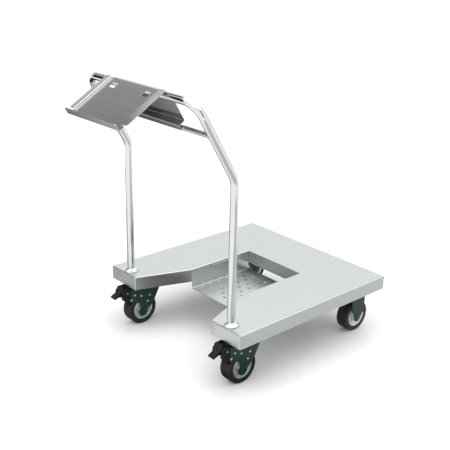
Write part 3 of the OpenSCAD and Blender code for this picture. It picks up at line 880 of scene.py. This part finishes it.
def make_forks():
    """Pressed forks: braked swivel forks at the handle end, fixed forks at the front."""
    back, front = -66.0, 80.0
    half = 36.0
    trail = KINGPIN_X - REAR_X
    crown = CROWN_Z - AXLE_Z
    for name, place in rear_casters():
        bm = bmesh.new()
        fork_sheet(bm, place, back, front, crown, swivel_cheek(back, front))
        add_piece(
            f"swivel_fork_{name}", bm, finish_of("green_stove_enamel"), f"rear_{name}_swivel",
            [f"rear_{name}_fork"], sheet=FORK_T, edge=0.7, facing=Vector((0, 0, 1)),
        )
        bm = bmesh.new()
        race = [(38, crown - FORK_T), (40, crown - 1.5), (38, crown + 0.02)]
        race += [(31, crown + 0.05), (29.5, crown + 0.8), (29, crown + 2.7), (28.2, crown + 3.5)]
        race += [(27, crown + 3.5), (25, crown + 3.2), (23, crown + 3.5), (6.1, crown + 3.5)]
        race += [(6.1, crown - FORK_T)]
        add_lathe(bm, race, lambda x, y, z: place(trail + x, y, z), 72)
        add_piece(
            f"swivel_race_{name}", bm, finish_of("green_stove_enamel"), f"rear_{name}_swivel",
            [],
        )
        place = caster(FRONT_X, SIDES[name])
        bm = bmesh.new()
        top = PLATE_TOP - PLATE_T - AXLE_Z
        fork_sheet(bm, place, -half, half, top, fixed_cheek(half))
        add_piece(
            f"fixed_fork_{name}", bm, finish_of("green_stove_enamel"), "root",
            [f"front_{name}_fork"], sheet=FORK_T, edge=0.7, facing=Vector((0, 0, 1)),
        )
        bm = bmesh.new()
        add_plate(bm, place)
        add_piece(
            f"fixed_top_plate_{name}", bm, finish_of("green_stove_enamel"), "root",
            [], edge=0.7,
        )


def make_rivets():
    """Domed rivets that hold the brake housing in the swivel forks."""
    spots = [(-44, 72), (-14, 61), (27, 54), (-60, 56), (17, 30)]
    dome = [(4.7, -0.3), (4.75, 0.4), (4.3, 1.2), (3.4, 1.9), (2.0, 2.35), (0, 2.5)]
    for name, place in rear_casters():
        bm = bmesh.new()
        for cheek in SIDES.values():
            for x, z in spots:
                add_lathe(
                    bm, dome,
                    lambda a, b, h, x=x, z=z, cheek=cheek: place(x + a, cheek * (FORK_OUT + h), z + b),
                    24,
                )
        add_piece(
            f"rivets_{name}", bm, finish_of("bright_zinc_plating"), f"rear_{name}_swivel",
            [f"rear_{name}_rivets"],
        )


def make_axles():
    """Axle bolts with their low heads, spacers and threads, and their washers and nuts."""
    head, shank = 10.2, 6.0
    end = FORK_OUT + 11.4
    bolt = [(0, -FORK_OUT - 2.2), (7.4, -FORK_OUT - 2.5), (9.4, -FORK_OUT - 2.1)]
    bolt += [(head, -FORK_OUT - 1.2), (head, -FORK_OUT), (shank, -FORK_OUT), (shank, FORK_OUT)]
    pitch = 1.75
    turns = int((end - FORK_OUT - 1) / pitch)
    for k in range(turns):
        bolt += [(shank, FORK_OUT + k * pitch + 0.4), (shank - 0.7, FORK_OUT + (k + 0.5) * pitch + 0.4)]
    bolt += [(shank - 0.3, end - 1), (shank - 1.2, end), (0, end)]
    for end_name, name, place in wheels():
        body = f"rear_{name}_swivel" if end_name == "rear" else "root"
        bm = bmesh.new()
        add_lathe(bm, bolt, place, 40)
        for hand in SIDES.values():
            ring = [(shank, CORE_HALF + 0.2), (shank + 3, CORE_HALF + 0.2), (shank + 3, FORK_IN)]
            ring = [(r, hand * h) for r, h in ring + [(shank, FORK_IN)]]
            add_lathe(bm, ring, place, 40, closed=True)
        add_piece(
            f"{end_name}_axle_bolt_{name}", bm, finish_of("green_stove_enamel"), body,
            [f"{end_name}_{name}_axle"],
        )
        bm = bmesh.new()
        washer = [(6.3, 0), (11.2, 0), (12, 0.5), (12, 1.5), (11.2, 2), (6.3, 2)]
        add_lathe(bm, [(r, FORK_OUT + h) for r, h in washer], place, 48, closed=True)
        add_hex(bm, 19.0, 8.4, lambda a, b, h: place(a, b, FORK_OUT + 2 + h))
        add_piece(
            f"{end_name}_axle_nut_{name}", bm, finish_of("bright_zinc_plating"), body,
            [f"{end_name}_{name}_nut"],
        )


def make_wheels():
    """Wheels: rubber tyre on a ribbed cast core with two sealed bearings."""
    sizes = bpy.context.scene.cart_sizes
    rim_in, hub, web = CORE_R - 7, 20.0, 4.0
    lip = CORE_HALF - 2
    half_core = [(CORE_R, 0), (CORE_R, lip - 0.8), (CORE_R - 0.8, lip), (rim_in + 1.4, lip)]
    half_core += [(rim_in + 0.4, lip - 1.0), (rim_in - 1.5, lip - 7), (rim_in - 5.5, web + 9)]
    half_core += [(rim_in - 8.5, web + 6.5), (hub + 5.5, web + 5.5)]
    half_core += arc((hub + 4.5, web + 9.5), 4.0, 270, 180, 5)
    half_core += [(hub, CORE_HALF - 1.2), (hub - 1.2, CORE_HALF), (16.2, CORE_HALF)]
    half_core += [(16.2, CORE_HALF - 10), (9.2, CORE_HALF - 10), (9.2, 0)]
    core = half_core + [(r, -h) for r, h in reversed(half_core[1:-1])]
    edge = sizes.shoulder / MM
    half_tyre = [(WHEEL_R - 0.25, 0), (WHEEL_R - 0.25, 0.5), (WHEEL_R, 0.9)]
    half_tyre += [(WHEEL_R, TYRE_HALF - edge)]
    half_tyre += arc((WHEEL_R - edge, TYRE_HALF - edge), edge, 0, 90, 8)[1:]
    for groove in (WHEEL_R - edge - 2.2, CORE_R + 4.5):
        half_tyre += [(groove + 0.6, TYRE_HALF), (groove, TYRE_HALF - 0.45), (groove - 0.6, TYRE_HALF)]
    half_tyre += [(CORE_R + 1.2, TYRE_HALF), (CORE_R, TYRE_HALF - 1.0)]
    tyre = half_tyre + [(r, -h) for r, h in reversed(half_tyre[1:])]
    for end_name, name, place in wheels():
        body = f"{end_name}_{name}_wheel"
        bm = bmesh.new()
        add_lathe(bm, core, place, 96, closed=True)
        for k in range(6):
            spin = Matrix.Rotation(math.radians(60 * k), 2)
            for hand in SIDES.values():
                rib = [(hub - 1, web), (rim_in - 4, web), (rim_in - 0.5, lip - 4), (hub - 1, lip - 5)]

                def rib_place(r, h, t, spin=spin, hand=hand):
                    flat = spin @ Vector((r, t))
                    return place(flat.x, flat.y, hand * h)

                add_prism(bm, rib, -1.9, 1.9, rib_place)
        add_piece(
            f"{end_name}_wheel_core_{name}", bm, finish_of("cast_aluminium"), body,
            [f"{end_name}_{name}_core"], smooth=40,
        )
        bm = bmesh.new()
        add_lathe(bm, tyre, place, 128, closed=True)
        add_piece(
            f"{end_name}_tyre_{name}", bm, finish_of("moulded_black_rubber"), body,
            [f"{end_name}_{name}_tyre"], smooth=50,
        )
        bm = bmesh.new()
        for hand in SIDES.values():
            race = [(6.1, -9.8), (6.1, -0.1), (8.6, 0), (9.2, -0.8), (13.0, -0.8), (13.6, 0)]
            race += [(15.9, -0.2), (16.0, -9.8)]
            race = [(r, hand * (CORE_HALF + h)) for r, h in race]
            add_lathe(bm, race, place, 56, closed=True)
        add_piece(
            f"{end_name}_bearings_{name}", bm, finish_of("bright_zinc_plating"), body,
            [f"{end_name}_{name}_bearings"],
        )


# --- brakes ---

PIVOT = (-76.0, CROWN_UP - 9)
SHOE_PIN = (-52.0, CROWN_UP - 14)
PEDAL_HALF = 14.0
TREAD = math.radians(28)


def tread_up(x):
    """Height of the pedal's sloped tread at x, above the axle."""
    return CROWN_UP - 2 + (x + 91) * math.tan(TREAD)


def make_housings():
    """Moulded brake housings: two arms round the pedal, joined by a bridge."""
    top = CROWN_UP - 0.5
    reach = WHEEL_R + 4.0
    low = 48.0
    first = math.degrees(math.acos(-22.0 / reach))
    last = 180 - math.degrees(math.asin(low / reach))
    side_view = [(-96, 66, 4), (-96, top - 14, 6), (-94, top - 6, 3), (-88, top, 4), (-22, top, 3)]
    arm = rounded([(-22, 48, 0), (-66, 48, 0), (-91, 59, 6), *side_view])[2:]
    arm += arc((0, 0), reach, first, last, 8)
    arm_in, half = PEDAL_HALF + 0.5, FORK_IN - 0.5
    crown = CROWN_UP + FORK_T
    cap = rounded(
        [
            (-88, top - 5, 2), (-84, crown + 2.4, 5), (-38, crown + 2.4, 2), (-36, crown + 0.2, 0),
            (-66.4, crown + 0.2, 0), (-66.8, top - 5, 0),
        ]
    )
    bridge = rounded([(-64, top - 5, 1), (-64, top, 2), (-24, top, 2), (-24, top - 5, 1)])
    for name, place in rear_casters():
        place = crosswise(place)
        bm = bmesh.new()
        for hand in SIDES.values():
            near, far = sorted((hand * arm_in, hand * half))
            add_prism(bm, arm, near, far, place)
        add_prism(bm, bridge, -arm_in, arm_in, place)
        for hand in SIDES.values():
            near, far = sorted((hand * arm_in, hand * (FORK_OUT - 1.5)))
            add_prism(bm, cap, near, far, place)
        add_piece(
            f"brake_housing_{name}", bm, finish_of("moulded_black_nylon"), f"rear_{name}_swivel",
            [f"rear_{name}_housing"], edge=0.9,
        )


def pedal_outline():
    """Side view of a pedal: grooved tread, release tab, boss and underside."""
    groove, deep, gap = 2.5, 1.2, 7.0
    tread = [(-127, tread_up(-127) - 0.6)]
    x = -124.0
    while x < -96:
        tread += [(x, tread_up(x)), (x + 0.3, tread_up(x) - deep)]
        tread += [(x + groove, tread_up(x + groove) - deep), (x + groove + 0.3, tread_up(x + groove))]
        x += gap
    tab = rounded(
        [
            (-91, tread_up(-91), 0), (-88.5, tread_up(-91) + 2, 1.5), (-86.5, CROWN_UP + 11.5, 1.5),
            (-80, CROWN_UP + 11.5, 2.5), (-77, PIVOT[1] + 9, 0),
        ]
    )
    boss = arc(PIVOT, 9, 80, -95, 12)
    under = [(-100, tread_up(-100) - 12, 6), (-125, tread_up(-127) - 7, 2)]
    under = rounded([(-76, PIVOT[1] - 9, 0), *under, (-127, tread_up(-127), 0)])[1:-1]
    return tread + tab + boss + under


def make_pedals():
    """Rocking brake pedals."""
    for name, place in rear_casters():
        bm = bmesh.new()
        add_prism(bm, pedal_outline(), -PEDAL_HALF, PEDAL_HALF, crosswise(place))
        add_piece(
            f"brake_pedal_{name}", bm, finish_of("moulded_black_nylon"),
            f"rear_{name}_brake_pedal", [f"rear_{name}_pedal"], edge=0.35,
        )


def make_shoes():
    """Steel brake shoes that hang over the tyres."""
    inner = WHEEL_R + 2.5
    outer = inner + 4
    half = PEDAL_HALF - 1
    band = arc((0, 0), inner, 126, 157, 10) + arc((0, 0), outer, 157, 126, 10)
    knuckle = arc(SHOE_PIN, 6, 0, 360, 28)[:-1]
    root_a, root_b = arc((0, 0), inner + 2, 132, 148, 1)
    arm = [(SHOE_PIN[0] - 5, SHOE_PIN[1] - 3), (SHOE_PIN[0] + 5, SHOE_PIN[1] - 3), root_a, root_b]
    for name, place in rear_casters():
        place = crosswise(place)
        bm = bmesh.new()
        for outline, reach in ((band, half), (knuckle, half - 0.1), (arm, half - 0.2)):
            add_prism(bm, outline, -reach, reach, place)
        add_piece(
            f"brake_shoe_{name}", bm, finish_of("blackened_steel"),
            f"rear_{name}_brake_shoe", [f"rear_{name}_shoe"], edge=0.3,
        )


# --- fasteners and carried nodes ---


def make_fasteners():
    """Caster bolts and nuts, chamfered, on every top plate."""
    head_h, nut_h, across, shank_r = 5.2, 6.4, 13.0, 4.0
    low, seat, tip = PLATE_TOP - PLATE_T, PLATE_TOP + SHEET, PLATE_TOP + 12
    shank = [(shank_r, low), (shank_r, tip - 1), (shank_r - 0.8, tip), (0, tip)]
    bolts, nuts = bmesh.new(), bmesh.new()
    for x in (KINGPIN_X, FRONT_X):
        for side in SIDES.values():
            for dx in (-BOLT_X, BOLT_X):
                for dy in (-BOLT_Y, BOLT_Y):
                    px, py = x + dx, side * CASTER_Y + dy
                    add_hex(bolts, across, head_h, lambda a, b, h: at(px + a, py + b, low - h))
                    add_lathe(bolts, shank, lambda a, b, h: at(px + a, py + b, h), 24)
                    add_hex(nuts, across, nut_h, lambda a, b, h: at(px + a, py + b, seat + h))
    zinc = finish_of("bright_zinc_plating")
    add_piece("caster_hex_bolts", bolts, zinc, "root", ["caster_bolts"])
    add_piece("caster_hex_nuts", nuts, zinc, "root", ["caster_nuts"])


def dress_nodes():
    """Gives every CAD node that still shows its finish."""
    finishes = {"post_doublers": "brushed_stainless_side"}
    for name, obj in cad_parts.items():
        if obj.hide_render:
            continue
        for holder in obj.material_slots:
            holder.material = finish_of(finishes.get(name, "bright_zinc_plating"))


# --- studio ---


FLOOR_REACH = 40.0
LAMP_AIM = Vector((0, 0, 0.3))
# where the unlit patch of the ceiling lies, and its edge and core in degrees from there
PATCH_WAY = Vector((-0.08, 0.66, 0.70)).normalized()
PATCH_EDGE, PATCH_CORE = 28, 4
# how high the light turns from the surround's colour to the ceiling's, from 0 level to 1 overhead
CEILING_FROM, CEILING_FULL = 0.45, 0.85
# standing cards: heading in degrees, distance and width in metres
STANDING_CARDS = ((262, 3.6, 1.1), (8, 4.2, 0.9), (135, 3.6, 2.2))
CARD_FOOT, CARD_HEIGHT = 0.15, 2.6
FAN_NEAR, FAN_FAR = 0.42, 2.2
FLOOR_CARD_Z, FLOOR_CARD_STEP = 0.003, 0.0005
CAMERA_PLACE = (-1.8528, -2.0883, 1.5317)
CAMERA_HEADING, CAMERA_PITCH, CAMERA_ROLL = 47.9, 21.03, 1.29
CAMERA_LENS, CAMERA_SENSOR = 65.33, 36.0


def add_flat(name, corners, finish):
    """Four-cornered sheet of the stage."""
    mesh = bpy.data.meshes.new(name)
    mesh.from_pydata(corners, [], [(0, 1, 2, 3)])
    mesh.materials.append(finish)
    flat = bpy.data.objects.new(name, mesh)
    bpy.context.scene.collection.objects.link(flat)
    return flat


def make_stage(studio):
    """Pale floor, soft light from above and all round, and dark cards for the polish to mirror."""
    corners = oblong(-FLOOR_REACH, -FLOOR_REACH, FLOOR_REACH, FLOOR_REACH)
    add_flat("studio_floor", [(x, y, 0) for x, y in corners], finish_of("pale_studio_floor"))
    light_studio(studio)
    make_cards(studio)


def light_studio(studio):
    """Even world light with one soft dark patch overhead, and two broad lamps above the cart."""
    world = bpy.data.worlds.new("studio")
    bpy.context.scene.world = world
    world.use_nodes = True
    tree = world.node_tree
    tree.nodes.clear()
    way = add_node(tree, "ShaderNodeTexCoord").outputs["Generated"]
    facing = {0: way, 1: tuple(PATCH_WAY)}
    close = add_node(tree, "ShaderNodeVectorMath", facing, operation="DOT_PRODUCT").outputs["Value"]
    height = add_node(tree, "ShaderNodeSeparateXYZ", {"Vector": way}).outputs["Z"]
    edge, core = (math.cos(math.radians(turn)) for turn in (PATCH_EDGE, PATCH_CORE))
    colour = tuple(studio.side)
    for value, start, end, tone in (
        (height, CEILING_FROM, CEILING_FULL, studio.sky), (close, edge, core, studio.patch),
    ):
        ends = {"Value": value, "From Min": start, "From Max": end}
        share = add_node(tree, "ShaderNodeMapRange", ends).outputs["Result"]
        mix = {"Factor": share, 6: colour, 7: tuple(tone)}
        colour = add_node(tree, "ShaderNodeMix", mix, data_type="RGBA").outputs[2]
    light = add_node(tree, "ShaderNodeBackground", {"Color": colour, "Strength": studio.sky_strength})
    add_node(tree, "ShaderNodeOutputWorld", {"Surface": light.outputs["Background"]})
    for name, place, size, power in (
        ("top_light", (-0.3, 0.3, 3.2), 2.6, studio.top_power),
        ("key_light", (-2.6, -1.4, 2.6), 1.6, studio.key_power),
    ):
        lamp = bpy.data.lights.new(name, "AREA")
        lamp.size = size
        lamp.energy = power
        obj = bpy.data.objects.new(name, lamp)
        obj.location = place
        obj.rotation_mode = "QUATERNION"
        obj.rotation_quaternion = (LAMP_AIM - obj.location).to_track_quat("-Z", "Y")
        bpy.context.scene.collection.objects.link(obj)


def card_finish(name, colour):
    """Matt paper of a card that only polished metal sees: fibres 4 mm long vary its dullness."""
    finish, tree, place = new_finish(name)
    ends = {"From Min": 0.3, "From Max": 0.7, "To Min": 0.85, "To Max": 0.95}
    dull = add_node(tree, "ShaderNodeMapRange", {"Value": spread(tree, place, 4.0, 2.0), **ends})
    surface = {"Base Color": tuple(colour), "Roughness": dull.outputs["Result"]}
    shader = add_node(tree, "ShaderNodeBsdfPrincipled", surface)
    add_node(tree, "ShaderNodeOutputMaterial", {"Surface": shader.outputs["BSDF"]})
    return finish


def add_card(name, corners, finish):
    """Card that shows in reflections but not to the camera or as a shadow."""
    card = add_flat(name, corners, finish)
    card.visible_camera = False
    card.visible_diffuse = False
    card.visible_shadow = False


def make_cards(studio):
    """Cards, standing and lying, seen only in the reflections of polished metal."""
    black = card_finish("black_card", studio.card)
    for k, (heading, distance, width) in enumerate(STANDING_CARDS):
        turn = math.radians(heading)
        out = Vector((math.cos(turn), math.sin(turn), 0))
        side = Vector((-out.y, out.x, 0)) * width / 2
        up = Vector((0, 0, CARD_HEIGHT))
        foot = out * distance + Vector((0, 0, CARD_FOOT))
        corners = [foot - side, foot + side, foot + side + up, foot - side + up]
        add_card(f"black_card_{k}", corners, black)
    grey = card_finish("grey_card", studio.grey_card)
    pale = card_finish("pale_card", studio.pale_card)
    for k, (corners, paper) in enumerate(
        (
            (fan(POST_X, -POST_Y, 255, 318), grey),
            (fan(POST_X, -POST_Y, 60, 130), grey),
            (fan(POST_X, POST_Y, 75, 110), black),
            (oblong(-0.75, -1.45, -0.06, -0.48), grey),
            # the black card lying under the near arm is painted shadow: polished sheet mirrors it as
            # the shaded floor there
            (oblong(-0.28, -0.46, 0.02, -0.04), black),
            (oblong(-0.02, -1.0, 1.0, -0.4), pale),
        )
    ):
        z = FLOOR_CARD_Z + FLOOR_CARD_STEP * k
        add_card(f"floor_card_{k}", [(x, y, z) for x, y in corners], paper)


def fan(x, y, first, last):
    """Corners of a floor card that spreads out from a post between two headings in degrees."""
    foot = at(x, y, 0)
    corners = []
    for heading, reach in ((first, FAN_NEAR), (first, FAN_FAR), (last, FAN_FAR), (last, FAN_NEAR)):
        turn = math.radians(heading)
        corners.append((foot.x + reach * math.cos(turn), foot.y + reach * math.sin(turn)))
    return corners


def make_camera():
    """Camera behind the cart's right rear corner, above the handle."""
    heading, pitch, roll = (math.radians(a) for a in (CAMERA_HEADING, CAMERA_PITCH, CAMERA_ROLL))
    flat = math.cos(pitch)
    ahead = Vector((flat * math.cos(heading), flat * math.sin(heading), -math.sin(pitch)))
    level = Vector((math.sin(heading), -math.cos(heading), 0))
    over = level.cross(ahead)
    right = level * math.cos(roll) + over * math.sin(roll)
    up = over * math.cos(roll) - level * math.sin(roll)
    lens = bpy.data.cameras.new("camera")
    lens.sensor_width = CAMERA_SENSOR
    lens.lens = CAMERA_LENS
    camera = bpy.data.objects.new("camera", lens)
    turn = Matrix((right, up, -ahead)).transposed().to_4x4()
    camera.matrix_world = Matrix.Translation(CAMERA_PLACE) @ turn
    bpy.context.scene.collection.objects.link(camera)
    bpy.context.scene.camera = camera
    bpy.context.scene.view_settings.view_transform = "Standard"


# --- add-on ---


def length_property(name, mm, text):
    """A length setting whose default is in millimetres."""
    return FloatProperty(name=name, description=text, default=mm * MM, unit="LENGTH")


class CartSizes(PropertyGroup):
    """Sizes of the details that the CAD leaves plain."""

    fold: length_property("Deck fold radius", 3.2, "Outer radius of the deck's folds")
    pan_fold: length_property("Pan fold radius", 5.0, "Inner radius of the step pan's folds")
    well_lip: length_property("Well lip", 9.0, "How far the deck is folded down over the pan's walls")
    flange_drop: FloatProperty(
        name="Flange drop", description="How far the tray's flanges fall outward, as a slope",
        default=0.07,
    )
    weld: length_property("Weld radius", 1.6, "Radius of the crossbar's weld beads")
    shoulder: length_property("Tyre shoulder", 5.0, "Radius of the tyres' shoulders")


def colour_property(name, code, text):
    """A colour setting whose default is an sRGB hex value."""
    return FloatVectorProperty(
        name=name, description=text, subtype="COLOR", size=4, min=0, max=1, default=linear(code)
    )


class CartFinishes(PropertyGroup):
    """Colours of the cart's finishes."""

    deck: colour_property("Deck", "#bfc2c2", "Brushed stainless of the deck and step pan")
    tray: colour_property("Tray", "#c0c2c2", "Bright stainless of the tray and back plate")
    tube: colour_property("Tube", "#cfd1d2", "Polished stainless of the handle and collars")
    enamel: colour_property("Enamel", "#0a2922", "Green enamel of the forks and plates")
    zinc: colour_property("Zinc", "#c2c5c8", "Zinc plating of the fasteners")
    alloy: colour_property("Alloy", "#f2f3f3", "Cast aluminium of the wheel cores")
    rubber: colour_property("Rubber", "#131111", "Rubber of the tyres")
    nylon: colour_property("Nylon", "#08080a", "Nylon of the brake housings and pedals")
    shoe: colour_property("Shoe", "#1a1a1b", "Blackened steel of the brake shoes")
    weld: colour_property("Weld", "#b4b3b0", "Weld beads")
    floor: colour_property("Floor", "#dadada", "Studio floor")


class CartStudio(PropertyGroup):
    """Light round the cart."""

    sky: colour_property("Ceiling", "#ffffff", "Colour of the light from overhead")
    side: colour_property("Surround", "#bfbfbf", "Colour of the light from the sides")
    patch: colour_property("Dark ceiling", "#1e1f20", "Colour of the unlit part of the ceiling")
    card: colour_property("Cards", "#060606", "Colour of the cards that the polish mirrors")
    grey_card: colour_property("Grey cards", "#a4a4a4", "Colour of the cards by the handle")
    pale_card: colour_property("Pale card", "#bcbcbc", "Colour of the card along the deck")
    sky_strength: FloatProperty(
        name="Surround strength", description="Strength of the light from all round", default=2.25
    )
    top_power: FloatProperty(
        name="Top light", description="Power of the broad lamp above", default=20.0, unit="POWER"
    )
    key_power: FloatProperty(
        name="Key light", description="Power of the lamp behind the user's right", default=10.0,
        unit="POWER",
    )


def piece_operator(build, label):
    """An operator that builds one piece or group of like pieces, named after its builder."""

    def execute(self, context):
        build()
        return {"FINISHED"}

    key = build.__name__.removeprefix("make_")
    told = {"bl_idname": "cart." + key, "bl_label": label, "__doc__": build.__doc__}
    return type("CART_OT_" + key, (Operator,), {**told, "execute": execute})


PIECES = (
    piece_operator(make_deck, "Deck sheet"),
    piece_operator(make_pan, "Step pan"),
    piece_operator(make_channels, "Channels"),
    piece_operator(make_handle, "Handle"),
    piece_operator(make_crossbar, "Crossbar"),
    piece_operator(make_collars, "Collars"),
    piece_operator(make_tray, "Document tray"),
    piece_operator(make_back_plate, "Back plate"),
    piece_operator(make_plates, "Caster plates"),
    piece_operator(make_forks, "Forks"),
    piece_operator(make_rivets, "Rivets"),
    piece_operator(make_axles, "Axles"),
    piece_operator(make_wheels, "Wheels"),
    piece_operator(make_housings, "Brake housings"),
    piece_operator(make_pedals, "Brake pedals"),
    piece_operator(make_shoes, "Brake shoes"),
    piece_operator(make_fasteners, "Fasteners"),
)


class CART_OT_nodes(Operator):
    """Give the CAD nodes that still show their finishes"""

    bl_idname = "cart.nodes"
    bl_label = "Finish carried parts"

    def execute(self, context):
        dress_nodes()
        return {"FINISHED"}


class CART_OT_stage(Operator):
    """Build the floor, the lights, the cards and the camera"""

    bl_idname = "cart.stage"
    bl_label = "Studio"

    def execute(self, context):
        make_stage(context.scene.cart_studio)
        make_camera()
        return {"FINISHED"}


OPERATORS = (*PIECES, CART_OT_nodes, CART_OT_stage)


class CART_PT_build(Panel):
    """Lists the cart's builders and settings"""

    bl_idname = "CART_PT_build"
    bl_label = "Luggage cart"
    bl_space_type = "VIEW_3D"
    bl_region_type = "UI"
    bl_category = "Cart"

    def draw(self, context):
        for operator in OPERATORS:
            self.layout.operator(operator.bl_idname)
        for group in (context.scene.cart_sizes, context.scene.cart_finishes, context.scene.cart_studio):
            for name in group.__annotations__:
                self.layout.prop(group, name)


CLASSES = (CartSizes, CartFinishes, CartStudio, *OPERATORS, CART_PT_build)


def register():
    for made in CLASSES:
        bpy.utils.register_class(made)
    bpy.types.Scene.cart_sizes = PointerProperty(type=CartSizes)
    bpy.types.Scene.cart_finishes = PointerProperty(type=CartFinishes)
    bpy.types.Scene.cart_studio = PointerProperty(type=CartStudio)


def unregister():
    for name in ("cart_sizes", "cart_finishes", "cart_studio"):
        delattr(bpy.types.Scene, name)
    for made in reversed(CLASSES):
        bpy.utils.unregister_class(made)


def main():
    """Builds every piece in order and writes both boxes to the size file."""
    register()
    for operator in OPERATORS:
        group, name = operator.bl_idname.split(".")
        getattr(getattr(bpy.ops, group), name)()


if __name__ == "__main__":
    main()
